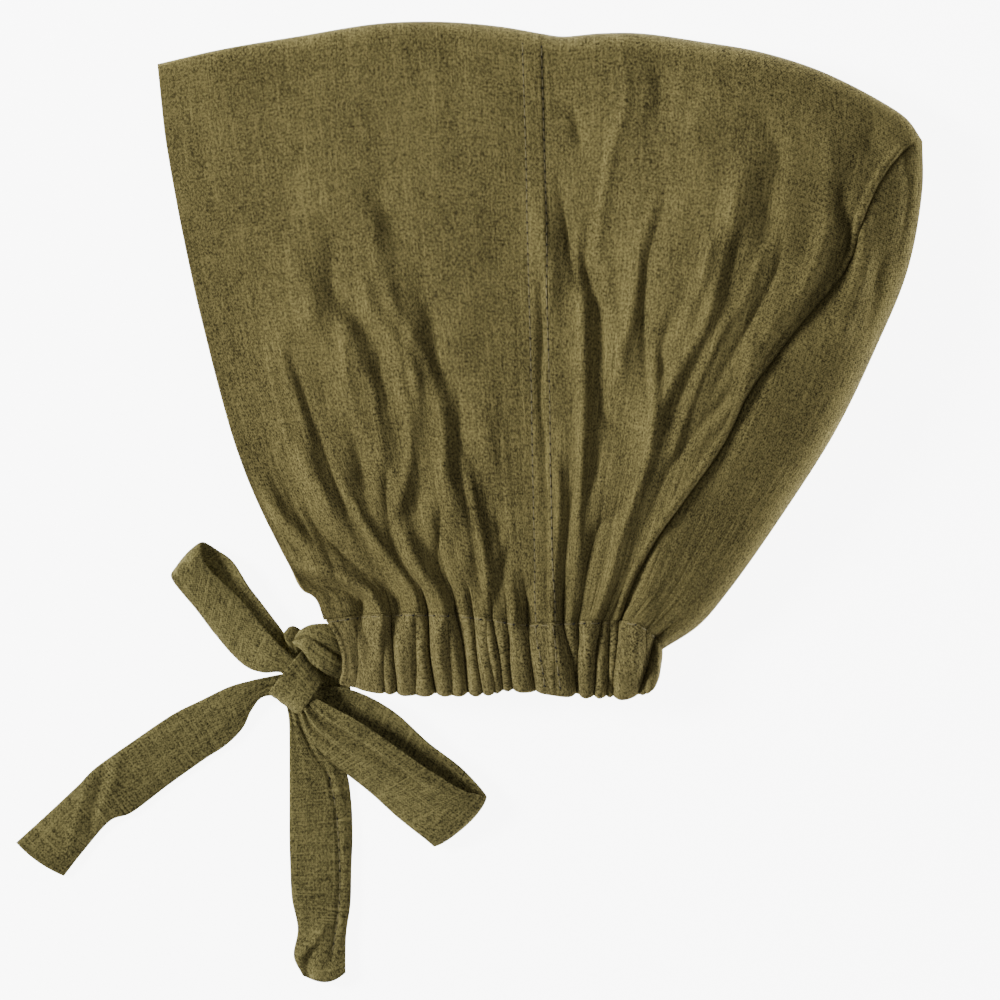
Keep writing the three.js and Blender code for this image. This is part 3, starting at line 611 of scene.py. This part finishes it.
def walled(name, points, faces, uv, outward, inward, pins):
    """Closed cloth wall that reaches outward and inward from a middle surface. Where a pin
    is given, the wall stands square to it."""
    a, b, c, d = (points[faces[:, k]] for k in range(4))
    face_normal = np.cross(c - a, d - b)
    normal = np.zeros_like(points)
    for k in range(4):
        np.add.at(normal, faces[:, k], face_normal)
    normal -= pins * (normal * pins).sum(-1, keepdims=True)
    normal = unit(normal)
    outward = np.broadcast_to(outward, len(points))[:, None]
    inward = np.broadcast_to(inward, len(points))[:, None]
    count = len(points)
    verts = np.vstack([points + normal * outward, points - normal * inward])
    edges = np.concatenate([faces[:, [k, (k + 1) % 4]] for k in range(4)])
    key = edges[:, 0].astype(np.int64) * count + edges[:, 1]
    back = edges[:, 1].astype(np.int64) * count + edges[:, 0]
    rim = edges[~np.isin(key, back)]
    p, q = rim[:, 0], rim[:, 1]
    sides = np.stack([q, p, p + count, q + count], -1)
    quads = np.vstack([faces, faces[:, ::-1] + count, sides])
    return mesh_object(name, verts, quads, np.vstack([uv, uv]))


def pins_along(heading, chosen):
    """Unit vectors square to a line in plan at the chosen points, zero elsewhere."""
    pins = np.zeros(chosen.shape + (3,))
    pins[chosen, 0], pins[chosen, 1] = -heading[chosen, 1], heading[chosen, 0]
    return pins


def spread(count, low_end, high_end):
    """Shares from 0 to 1, closer together towards an end by the factor given for it."""
    t = np.linspace(0, 1, count)
    density = 1 + (low_end - 1) * np.exp(-t / 0.12) + (high_end - 1) * np.exp(-(1 - t) / 0.08)
    run = np.concatenate([[0], np.cumsum((density[1:] + density[:-1]) / 2)])
    return np.interp(np.linspace(0, run[-1], count), run, t)


def crown_panel(name, panel, columns, rows_near, rows_far):
    """Both sides of a panel, one cloth folded over the top of the head."""
    across = spread(columns, 1.1, 2.2 if panel.closed else 1.1)
    sides, numbers, start = [], [], 0
    for near, rows in ((True, rows_near), (False, rows_far)):
        a, u = np.meshgrid(across, spread(rows, 1.6, 2.6), indexing="ij")
        number = start + np.arange(columns * rows).reshape(columns, rows)
        start += number.size
        sides.append((panel.points(near, a, u), a, u))
        numbers.append(number)
    near_number, far_number = numbers
    far_number[:, -1] = near_number[:, -1]
    if panel.closed:
        far_number[-1, :] = near_number[-1, :]
    faces = np.vstack([grid_faces(near_number), grid_faces(far_number, flipped=True)])
    points, a, u = (np.concatenate([side[k].reshape(-1, *side[k].shape[2:]) for side in sides])
                    for k in range(3))
    inward = np.full(len(a), CLOTH - FRAME_WALL / 2)
    if not panel.closed:
        doubled = smoothstep((FACE_HEM_WIDTH / PANEL_WIDTH - a) / 0.006)
        inward = inward + (FACE_HEM_WALL - CLOTH) * doubled
    flat = np.stack([a * PANEL_WIDTH, u * CROWN_HEIGHT], -1) * MM
    pins = pins_along(panel.neck.heading(a), u == 0)
    pins[a == (0 if panel.closed else 1)] = (1, 0, 0)
    used, inverse = np.unique(faces, return_inverse=True)
    return walled(name, points[used], inverse.reshape(-1, 4), flat[used],
                  FRAME_WALL / 2, inward[used], pins[used])


def on_panels(along):
    """Panel and share across it at a share along the whole neck stitching."""
    start, end, seam = FRONT.start, BACK.end, FRONT.end
    x = start + (end - start) * along
    in_front = x <= seam
    return in_front, np.where(in_front, (x - start) / (seam - start), (x - seam) / (end - seam))


def casing_points(near, along, down):
    """Middle surface of the gathered casing, from the stitching down to its hem."""
    hem = plan(CASING_HEM)
    in_front, across = on_panels(along)
    zero = np.zeros(across.shape)
    top = np.where(in_front[..., None], FRONT.place(across, zero), BACK.place(across, zero))
    at = top + (hem.at(along) - top) * down[..., None]
    start, end = FRONT.start, BACK.end
    calm = smoothstep((1 - along) / (0.12 * ((end - BACK.start) / (end - start))))
    rim, creased = np.zeros(along.shape), np.zeros(along.shape)
    hem_start, hem_end = CASING_HEM[0][0], CASING_HEM[-1][0]
    grown = CREASE_AT_STITCHING + (1 - CREASE_AT_STITCHING) * smoothstep(down / 0.25)
    length = CROWN_LENGTH * (end - start) * (1 - down) + hem.length * down
    for k, (top_x, hem_x, wide, deep) in enumerate(CASING_CREASES):
        at_top = (top_x - start) / (end - start)
        at_hem = (hem_x - hem_start) / (hem_end - hem_start)
        wave = 0.003 * (np.sin(5 * down + 2 * k) - np.sin(2 * k))
        centre = at_top + (at_hem - at_top) * down + wave
        widened = wide * (1 + 0.3 * np.sin(4 * down + k) * down)
        profile = crease((along - centre) * length, widened, deep)
        creased += grown * profile
        rim += 0.9 * profile * smoothstep((down - 0.5) / 0.5)
    ripple = lattice_noise(along * 52 + 3, down * 1.6 + 11, 21)
    hollow = np.maximum(1 - ((down - 0.45) / 0.5) ** 2, 0)
    scoop = CASING_SCOOP * hollow * smoothstep(1 - along / 0.1)
    x, y = at[..., 0] + scoop, at[..., 1] + np.minimum(rim, 3.5) * calm * 0.5
    base = np.where(in_front, FRONT.base(near, across, zero), BACK.base(near, across, zero))
    if near:
        hem_ridge = 0.3 * hump(along * hem.length - 1, 0.5) * smoothstep(down / 0.1)
        z = base - CASING_DROOP * down * calm - creased * calm + hem_ridge
        z = z + fold_relief(x - scoop, at[..., 1]) * calm + seam_strip_relief(x, y)
    else:
        z = base + FAR_SHARE * creased * calm
    z = z + 0.35 * ripple * calm * smoothstep(down / 0.1)
    return np.stack([x, y, z], -1)


def casing_wall(from_top, rounded=1):
    """Half the casing's thickness, drawn in where it is stitched."""
    half = FRAME_WALL / 2 + (CASING_WALL / 2 - FRAME_WALL / 2) * smoothstep(from_top / 5)
    return half * rounded - STITCHED_IN * hump(from_top - 0.8, 0.6)


def neck_casing(name, columns_near, columns_far, rows):
    """The casing, near side, round the back end, far side, with a rounded hem."""
    near_run = spread(columns_near, 1.0, 2.4)
    far_run = spread(columns_far, 1.0, 2.4)[::-1][1:]
    down = 1 - spread(rows, 2.6, 1.6)[::-1]
    pieces = []
    for near, run in ((True, near_run), (False, far_run)):
        along, share = np.meshgrid(run, down, indexing="ij")
        pieces.append((casing_points(near, along, share), along, share))
    points, along, share = (np.concatenate(parts) for parts in zip(*pieces))
    deep = np.linalg.norm(points[:, -1, :2] - points[:, 0, :2], axis=-1)[:, None]
    rounded = quarter_round((1 - share) * deep, CASING_WALL / 2)
    rounded = rounded * (1 - CASING_CORNER) + CASING_CORNER
    wall = casing_wall(share * deep, rounded).ravel()
    in_front, across = on_panels(along)
    heading = np.where(in_front[..., None], FRONT.neck.heading(across), BACK.neck.heading(across))
    pins = pins_along(heading, share == 0)
    number = np.arange(along.size).reshape(along.shape)
    length = reach_along(points[:, 0])[:, None]
    flat = np.stack([np.broadcast_to(length, along.shape), -share * deep], -1) * MM
    return walled(name, points.reshape(-1, 3), grid_faces(number, flipped=True),
                  flat.reshape(-1, 2), wall, wall, pins.reshape(-1, 3))


class Ribbon:
    """Flattened tube of tie cloth between two edges."""

    def __init__(self, table, arch, pleats, pleat_reach, seed, sag, seam=None, end_bow=0,
                 ridges=()):
        rows = np.array(table) / 10
        self.left, self.right = rows[:, :3], rows[:, 3:]
        self.arch, self.pleats, self.pleat_reach, self.seed = arch, pleats, pleat_reach, seed
        self.sag, self.seam, self.end_bow, self.ridges = sag, seam, end_bow, ridges
        t = np.linspace(0, len(rows) - 1, 400)
        middle = (self.through(self.left, t) + self.through(self.right, t)) / 2
        self.run = reach_along(middle)
        self.t, self.length = t, self.run[-1]

    @staticmethod
    def through(points, t):
        last = len(points) - 1
        i = np.minimum(np.floor(t).astype(int), last - 1)
        pick = lambda k: points[np.clip(k, 0, last)]
        a, b = pick(i), pick(i + 1)
        slope_a = np.where((i > 0)[..., None], (b - pick(i - 1)) / 2, b - a)
        slope_b = np.where((i < last - 1)[..., None], (pick(i + 2) - a) / 2, b - a)
        return hermite(a, b, slope_a, slope_b, (t - i)[..., None])

    def edges(self, share):
        t = np.interp(np.clip(share, 0, 1) * self.length, self.run, self.t)
        return self.through(self.left, t), self.through(self.right, t)

    def surface(self, share, side):
        """Middle surface; share runs along, side from -1 at the left edge to 1."""
        left, right = self.edges(share)
        s = ((side + 1) / 2)[..., None]
        at = left * (1 - s) + right * s
        ahead, behind = self.edges(share + SLOPE_STEP), self.edges(share - SLOPE_STEP)
        along = (ahead[0] - behind[0]) * (1 - s) + (ahead[1] - behind[1]) * s
        normal = unit(np.cross(right - left, along))
        width = np.linalg.norm(right - left, axis=-1)
        returned = smoothstep((share - 0.42) / 0.16)
        lift = (self.arch * returned - self.sag * (1 - returned)) * (1 - side**2)
        facing = np.sign(normal[..., 2])
        for start, end, from_side, to_side, wide, high in self.ridges:
            along_ridge = (share - start) / (end - start)
            across_ridge = side - from_side - (to_side - from_side) * along_ridge
            fade = smoothstep(along_ridge / 0.2) * smoothstep((1 - along_ridge) / 0.2)
            lift = lift + high * facing * fade * hump(across_ridge, wide, 1.5)
        near_start = np.exp(-share / self.pleat_reach[0])
        near_end = np.exp(-(1 - share) / self.pleat_reach[1]) if self.pleat_reach[1] else 0
        wave = (np.cos(3 * np.pi * (side + 0.07 * self.seed))
                + 0.5 * np.cos(5 * np.pi * side + self.seed))
        lift = lift + self.pleats * (near_start + near_end) * wave * (1 - side**4)
        x = share * self.length
        lift = lift + TIE_RIPPLE * lattice_noise(x / 9 + self.seed, side * 1.6 + 9, self.seed)
        lift = lift + 0.4 * TIE_RIPPLE * lattice_noise(x / 3.1, side * 4 + 5, self.seed + 3)
        if self.end_bow:
            into = smoothstep((share - 0.8) / 0.2)
            at = at + unit(along) * (self.end_bow * into * (1 - side**2))[..., None]
        at = at + normal * lift[..., None]
        if self.seam is not None:
            away, _ = path_distance(self.seam, at[..., 0], at[..., 1])
            beside = smoothstep(1 - np.abs(away - 2.2) / 2.2)
            groove = 0.75 * hump(away, 0.7, 1.5) - 0.3 * beside
            at = at - normal * (groove * facing)[..., None]
        return at, normal, width

    def build(self, name, steps, sides):
        share, side = np.meshgrid(np.linspace(0, 1, steps), -np.cos(np.linspace(0, np.pi, sides)),
                                  indexing="ij")
        at, normal, width = self.surface(share, side)
        half = (TIE_WALL / 2 * np.sqrt(np.maximum(1 - np.abs(side) ** 7, 0)))[..., None]
        at[..., 2] = np.maximum(at[..., 2], TIE_WALL / 2)
        upper, lower = at + normal * half, at - normal * half
        number = np.arange(share.size).reshape(share.shape)
        under = number + share.size
        under[:, 0], under[:, -1] = number[:, 0], number[:, -1]
        quads = [grid_faces(number, flipped=True), grid_faces(under)]
        for end, turn in ((0, False), (-1, True)):
            a, b = number[end], under[end]
            cap = np.stack([a[:-1], b[:-1], b[1:], a[1:]], -1)
            quads.append(cap[:, ::-1] if turn else cap)
        faces = np.vstack(quads)
        points = np.vstack([upper.reshape(-1, 3), lower.reshape(-1, 3)])
        flat = np.stack([side * width / 2, share * self.length], -1).reshape(-1, 2) * MM
        used, inverse = np.unique(faces, return_inverse=True)
        return mesh_object(name, points[used], inverse.reshape(-1, 4),
                           np.vstack([flat, flat])[used])


def stitch_row(name, centres, headings, normals):
    """Row of stitches sunk a little into the cloth, and near-black rods between them: painted
    shade of the needle holes.
    """
    ahead = [h / np.linalg.norm(h) for h in headings]
    hole_shades = [c + h * STITCH_PITCH / 2 - n * HOLE_SHADE_SINK for c, h, n in zip(centres, ahead, normals)]
    slanted = [h + 0.5 * np.cross(n, h) for h, n in zip(ahead, normals)]
    return [
        capsules(name, centres, ahead, normals, STITCH_LENGTH / 2, STITCH_RADIUS),
        capsules(name + "_holes", hole_shades, slanted, normals, HOLE_SHADE_LENGTH / 2, HOLE_SHADE_RADIUS),
    ]


def capsules(name, centres, headings, normals, length, radius):
    """Small rounded rods that lie on the cloth."""
    turns, rings = 8, 5
    verts, faces = [], []
    around = np.arange(turns) * 2 * np.pi / turns
    for centre, heading, normal in zip(centres, headings, normals):
        heading = heading / np.linalg.norm(heading)
        side = np.cross(normal, heading)
        side /= np.linalg.norm(side)
        up = np.cross(heading, side)
        start = len(verts)
        for k in range(rings):
            phase = np.pi * (k + 0.5) / rings
            ahead, out = -math.cos(phase) * length, math.sin(phase) ** 0.6 * radius
            for angle in around:
                verts.append(centre + heading * ahead + side * out * math.cos(angle)
                             + up * out * math.sin(angle))
        for k in range(rings - 1):
            for j in range(turns):
                a, b = start + k * turns + j, start + k * turns + (j + 1) % turns
                faces.append((a, b, b + turns, a + turns))
        for ring, turn in ((0, True), (rings - 1, False)):
            ids = [start + ring * turns + j for j in range(turns)]
            for j in range(0, turns - 2, 2):
                quad = (ids[0], ids[j + 1], ids[j + 2], ids[j + 3])
                faces.append(quad[::-1] if turn else quad)
    return mesh_object(name, np.array(verts), faces)


def surface_normals(points_at, a, u, sign):
    low = lambda v: np.maximum(v - SLOPE_STEP, 0)
    high = lambda v: np.minimum(v + SLOPE_STEP, 1)
    normal = np.cross(points_at(high(a), u) - points_at(low(a), u),
                      points_at(a, high(u)) - points_at(a, low(u)))
    return sign * unit(normal)


def seam_stitches(name, near, offset):
    """Row of stitches beside the side seam, offset towards the face."""
    u = np.arange(STITCH_PITCH / 2, FRONT.right.length - 6, STITCH_PITCH) / FRONT.right.length
    a = np.ones(u.shape)
    for _ in range(12):
        place = FRONT.place(a, u)
        seam_x = np.interp(place[:, 1], FRONT.right.points[:, 1], FRONT.right.points[:, 0])
        a = np.clip(a - (place[:, 0] - seam_x + offset) / 120, 0, 1)
    points_at = lambda p, q: FRONT.points(near, p, q)
    normals = surface_normals(points_at, a, u, 1 if near else -1)
    centres = points_at(a, u) + normals * (FRAME_WALL / 2 - STITCH_SINK)
    ahead = points_at(a, np.minimum(u + 0.01, 1)) - points_at(a, u)
    return stitch_row(name, centres, ahead, normals)


def casing_stitches(name, near, place, by_rows):
    """Stitches on the casing: along its top, or down through it where the seam runs on."""
    if by_rows:
        down = (np.arange(5) + 0.5) / 5.6
        along = np.full(down.shape, place)
    else:
        count = int(NECK_LENGTH / STITCH_PITCH)
        along = (np.arange(count) + 0.5) / count * 0.97
        down = np.full(along.shape, place)
    points_at = lambda p, q: casing_points(near, p, q)
    normals = surface_normals(points_at, along, down, -1 if near else 1)
    wall = casing_wall(down * CASING_HEIGHT)
    centres = points_at(along, down) + normals * (wall - STITCH_SINK)[:, None]
    ahead = (points_at(along, np.minimum(down + 0.02, 1)) if by_rows
             else points_at(np.minimum(along + SLOPE_STEP, 1), down)) - points_at(along, down)
    return stitch_row(name, centres, ahead, normals)


def ribbon_stitches(name, ribbon, first, last):
    """Stitches on a ribbon's own seam."""
    path = ribbon.seam
    centres, headings, normals = [], [], []
    share, side = np.meshgrid(np.linspace(0, 1, 160), np.linspace(-0.95, 0.95, 60), indexing="ij")
    at, normal, _ = ribbon.surface(share, side)
    for place in np.arange(first, last, STITCH_PITCH):
        spot, heading = path.at(place / path.length), path.heading(place / path.length)
        apart = np.hypot(at[..., 0] - spot[0], at[..., 1] - spot[1])
        k = np.unravel_index(np.argmin(apart), side.shape)
        up = normal[k] * np.sign(normal[k][2])
        centres.append(np.array([spot[0], spot[1], at[k][2]]) + up * (TIE_WALL / 2 - 0.02))
        headings.append(np.array([heading[0], heading[1], 0]))
        normals.append(up)
    return stitch_row(name, centres, headings, normals)


def cloth_material(name, light, dark, slub_along, slub_across, crossed=1.0):
    """Plain weave with slubs: uneven threads along and across, in millimetres of the cloth."""
    mat = bpy.data.materials.new(name)
    mat.use_nodes = True
    nodes, links = mat.node_tree.nodes, mat.node_tree.links
    nodes.clear()

    def feed(socket, value):
        if isinstance(value, bpy.types.NodeSocket):
            links.new(value, socket)
        else:
            socket.default_value = value

    def node(kind, output=0, **inputs):
        made = nodes.new("ShaderNode" + kind)
        for key, value in inputs.items():
            feed(made.inputs[key.replace("_", " ")], value)
        return made.outputs[output]

    def math_node(kind, a, b):
        output = node("Math")
        output.node.operation = kind
        feed(output.node.inputs[0], a)
        feed(output.node.inputs[1], b)
        return output

    def scaled(x, y):
        return node("Mapping", Vector=cloth, Scale=(x / MM, y / MM, min(x, y) / MM))

    def noise(vector, detail, rough=0.5):
        return node("TexNoise", "Fac", Vector=vector, Scale=1.0, Detail=detail, Roughness=rough)

    def remap(value, low, high):
        return node("MapRange", "Result", Value=value, From_Min=low, From_Max=high)

    def wave(axis):
        place = node("SeparateXYZ", axis, Vector=scaled(1 / THREAD_PITCH, 1 / THREAD_PITCH))
        bent = math_node("ADD", place, math_node("MULTIPLY", bend, 0.9))
        return math_node("SINE", math_node("MULTIPLY", bent, 2 * math.pi), 0.0)

    # The height as third coordinate keeps the weave from streaking on upright walls
    uv = node("UVMap", "UV")
    uv.node.uv_map = "cloth"
    flat, place = node("SeparateXYZ", Vector=uv), node("TexCoord", "Object")
    height = node("SeparateXYZ", "Z", Vector=place)
    cloth = node("CombineXYZ", X=flat, Y=flat.node.outputs["Y"], Z=height)

    grain = noise(scaled(1.6, 1.25), 2.0, 0.6)
    bend = noise(scaled(1.1, 1.1), 1.0)
    crossing = math_node("MULTIPLY", wave("X"), wave("Y"))
    threads_up = noise(scaled(1.9, 0.12), 2.0)
    threads_across = noise(scaled(0.12, 1.9), 2.0)
    slubs_up = remap(noise(scaled(0.95, 0.055), 1.0), 0.56, 0.74)
    slubs_across = remap(noise(scaled(0.055, 0.95), 1.0), 0.58, 0.76)
    cloudy = noise(scaled(0.045, 0.03), 2.0)

    relief = grain
    for part, weight in (
            (crossing, 0.08 * crossed), (threads_up, 0.55 * slub_along),
            (threads_across, 0.55 * slub_across), (slubs_up, 0.25 * slub_along),
            (slubs_across, 0.25 * slub_across)):
        relief = math_node("ADD", relief, math_node("MULTIPLY", part, weight))
    centre = 0.5 + 0.275 * (slub_along + slub_across)
    shade = remap(relief, centre - CONTRAST, centre + CONTRAST)
    shade = math_node("ADD", shade, math_node("MULTIPLY", math_node("SUBTRACT", cloudy, 0.5), 0.5))
    colour = node("ValToRGB", "Color", Fac=shade)
    colour.node.color_ramp.elements[0].color = (*dark, 1)
    colour.node.color_ramp.elements[1].color = (*light, 1)
    normal = node("Bump", "Normal", Strength=0.8, Distance=0.0003, Height=relief)
    shader = node("BsdfPrincipled", "BSDF", Base_Color=colour, Roughness=1.0,
                  Specular_IOR_Level=0.03, Normal=normal)
    links.new(shader, nodes.new("ShaderNodeOutputMaterial").inputs["Surface"])
    return mat


def plain_material(name, colour, roughness):
    mat = bpy.data.materials.new(name)
    mat.use_nodes = True
    shader = mat.node_tree.nodes["Principled BSDF"]
    shader.inputs["Base Color"].default_value = (*colour, 1)
    shader.inputs["Roughness"].default_value = roughness
    return mat


CROWN_CLOTH = cloth_material(
    "crown_cloth", (0.172, 0.145, 0.055), (0.0125, 0.0107, 0.0045), 0.4, 0.2)
CASING_CLOTH = cloth_material(
    "casing_cloth", (0.192, 0.162, 0.064), (0.0145, 0.0125, 0.0053), 0.4, 0.2)
TIE_CLOTH = cloth_material(
    "tie_cloth", (0.155, 0.135, 0.052), (0.0135, 0.0120, 0.0048), 0.4, 0.6, 1.2)
THREAD = plain_material("thread", (0.120, 0.100, 0.040), 0.8)
# Near-black colour of the needle-hole rods: painted shade of the holes
HOLE_PAINTED_SHADE = plain_material("needle_hole", (0.006, 0.005, 0.002), 1.0)
FLOOR = plain_material("floor", (0.92, 0.92, 0.92), 0.9)
glow = FLOOR.node_tree.nodes["Principled BSDF"]
glow.inputs["Emission Color"].default_value = (1, 1, 1, 1)
glow.inputs["Emission Strength"].default_value = FLOOR_GLOW


def finish_piece(obj, material, slot, *nodes):
    obj.data.materials.append(material)
    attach(obj, "root")
    if nodes:
        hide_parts(*nodes)
    return obj


front_cloth = crown_panel("crown_front_cloth", FRONT, 216, 160, 44)
back_cloth = crown_panel("crown_back_cloth", BACK, 206, 116, 116)
casing_cloth = neck_casing("neck_casing_cloth", 380, 150, 40)

down_seam = Line(DOWN_SEAM)
down_end = Ribbon(DOWN_END, 0.4, 0.35, (0.14, 0), 5, -0.4, seam=down_seam, end_bow=3,
                  ridges=END_DOWN_RIDGES)
loop_upper_cloth = Ribbon(
    UPPER_LOOP, -0.9, 0.35, (0.06, 0.1), 2, 0.6).build("bow_loop_upper_cloth", 260, 30)
loop_lower_cloth = Ribbon(
    LOWER_LOOP, -0.8, 0.3, (0.06, 0.14), 3, 4.6, ridges=LOOP_RIDGES,
).build("bow_loop_lower_cloth", 300, 34)
end_left_cloth = Ribbon(
    LEFT_END, 0.5, 0.35, (0.14, 0), 4, -0.5, end_bow=1.2, ridges=END_LEFT_RIDGES,
).build("tie_end_left_cloth", 220, 34)
end_down_cloth = down_end.build("tie_end_down_cloth", 240, 44)
wrap_cloth = Ribbon(
    WRAP, 0.3, 0.12, (0.3, 0.3), 6, -0.3, end_bow=2.2).build("bow_knot_cloth", 120, 30)
root_upper_cloth = Ribbon(
    ROOT_UPPER, 1, 0.2, (0.2, 0.3), 7, -1).build("tie_root_upper_cloth", 90, 24)
root_lower_cloth = Ribbon(
    ROOT_LOWER, 1.2, 0.2, (0.2, 0.3), 8, -1.2).build("tie_root_lower_cloth", 90, 24)
root_far_cloth = Ribbon(
    ROOT_FAR, 0.5, 0.1, (0.3, 0.3), 9, -0.5).build("tie_root_far_cloth", 70, 20)

seam_at = (FRONT.end - FRONT.start) / (BACK.end - FRONT.start)
strip = SEAM_STRIP_WIDTH / plan(CASING_HEM).length
threads = {
    "crown": [
        *seam_stitches("seam_stitches_near_left", True, SEAM_STRIP_WIDTH),
        *seam_stitches("seam_stitches_near_right", True, 0.3),
        *seam_stitches("seam_stitches_far_left", False, SEAM_STRIP_WIDTH),
        *seam_stitches("seam_stitches_far_right", False, 0.6),
    ],
    "casing": [
        *casing_stitches("casing_stitches_near", True, 0.03, False),
        *casing_stitches("casing_stitches_far", False, 0.03, False),
        *casing_stitches("casing_seam_stitches_left", True, seam_at - strip, True),
        *casing_stitches("casing_seam_stitches_right", True, seam_at - 0.008, True),
    ],
    "tie": ribbon_stitches("tie_seam_stitches", down_end, 4, down_seam.length - 2),
}

finish_piece(front_cloth, CROWN_CLOTH, "cloth", "front_panel")
finish_piece(back_cloth, CROWN_CLOTH, "cloth", "back_panel")
finish_piece(casing_cloth, CASING_CLOTH, "casing_cloth", "neck_band")
for piece, node in (
        (loop_upper_cloth, "bow_loop_upper"), (loop_lower_cloth, "bow_loop_lower"),
        (end_left_cloth, "tie_end_left"), (end_down_cloth, "tie_end_down"),
        (wrap_cloth, "bow_knot"), (root_upper_cloth, "tie_root_near"),
        (root_lower_cloth, "tie_root_near"), (root_far_cloth, "tie_root_far")):
    finish_piece(piece, TIE_CLOTH, "tie_cloth", node)
for slot_name, group in (("cloth", threads["crown"]), ("casing_cloth", threads["casing"]),
                         ("tie_cloth", threads["tie"])):
    for row in group:
        # Rows of hole rods take the near-black painted shade, the other rows the thread colour
        finish_piece(row, HOLE_PAINTED_SHADE if row.name.endswith("_holes") else THREAD, slot_name)


def add_floor():
    mesh = bpy.data.meshes.new("table_top")
    corners = [(x, y, -0.2 * MM) for x, y in ((-3, -3), (3, -3), (3, 3), (-3, 3))]
    mesh.from_pydata(corners, [], [(0, 1, 2, 3)])
    obj = bpy.data.objects.new("table_top", mesh)
    bpy.context.collection.objects.link(obj)
    mesh.materials.append(FLOOR)
    obj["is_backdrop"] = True


def add_light(name, place, size, power):
    """Round area light that looks at the frame's origin."""
    data = bpy.data.lights.new(name, "AREA")
    data.shape = "DISK"
    data.size = size
    data.energy = power
    obj = bpy.data.objects.new(name, data)
    obj.location = place
    obj.rotation_euler = (-Vector(place)).to_track_quat("-Z", "Y").to_euler()
    bpy.context.collection.objects.link(obj)


def add_camera():
    data = bpy.data.cameras.new("photo_camera")
    data.sensor_width = 36
    data.lens = data.sensor_width * CAMERA_DISTANCE / PHOTO_SPAN
    data.clip_end = 20
    obj = bpy.data.objects.new("photo_camera", data)
    middle = (np.array([*PHOTO_MIDDLE, 0]) + SHIFT) * MM
    obj.location = (middle[0], middle[1], CAMERA_DISTANCE * MM)
    bpy.context.collection.objects.link(obj)
    bpy.context.scene.camera = obj


world = bpy.data.worlds.new("studio")
world.use_nodes = True
world.node_tree.nodes["Background"].inputs["Color"].default_value = (1, 1, 1, 1)
world.node_tree.nodes["Background"].inputs["Strength"].default_value = SKY_STRENGTH
bpy.context.scene.world = world
add_floor()
add_light("window", (-1.7, 0.35, 1.0), 0.6, 80)
add_light("fill", (1.5, -0.3, 1.8), 1.2, 9)
add_camera()

low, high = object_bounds()
{"cad": [list(CAD_LOW), list(CAD_HIGH)], "visual": [list(low), list(high)]}
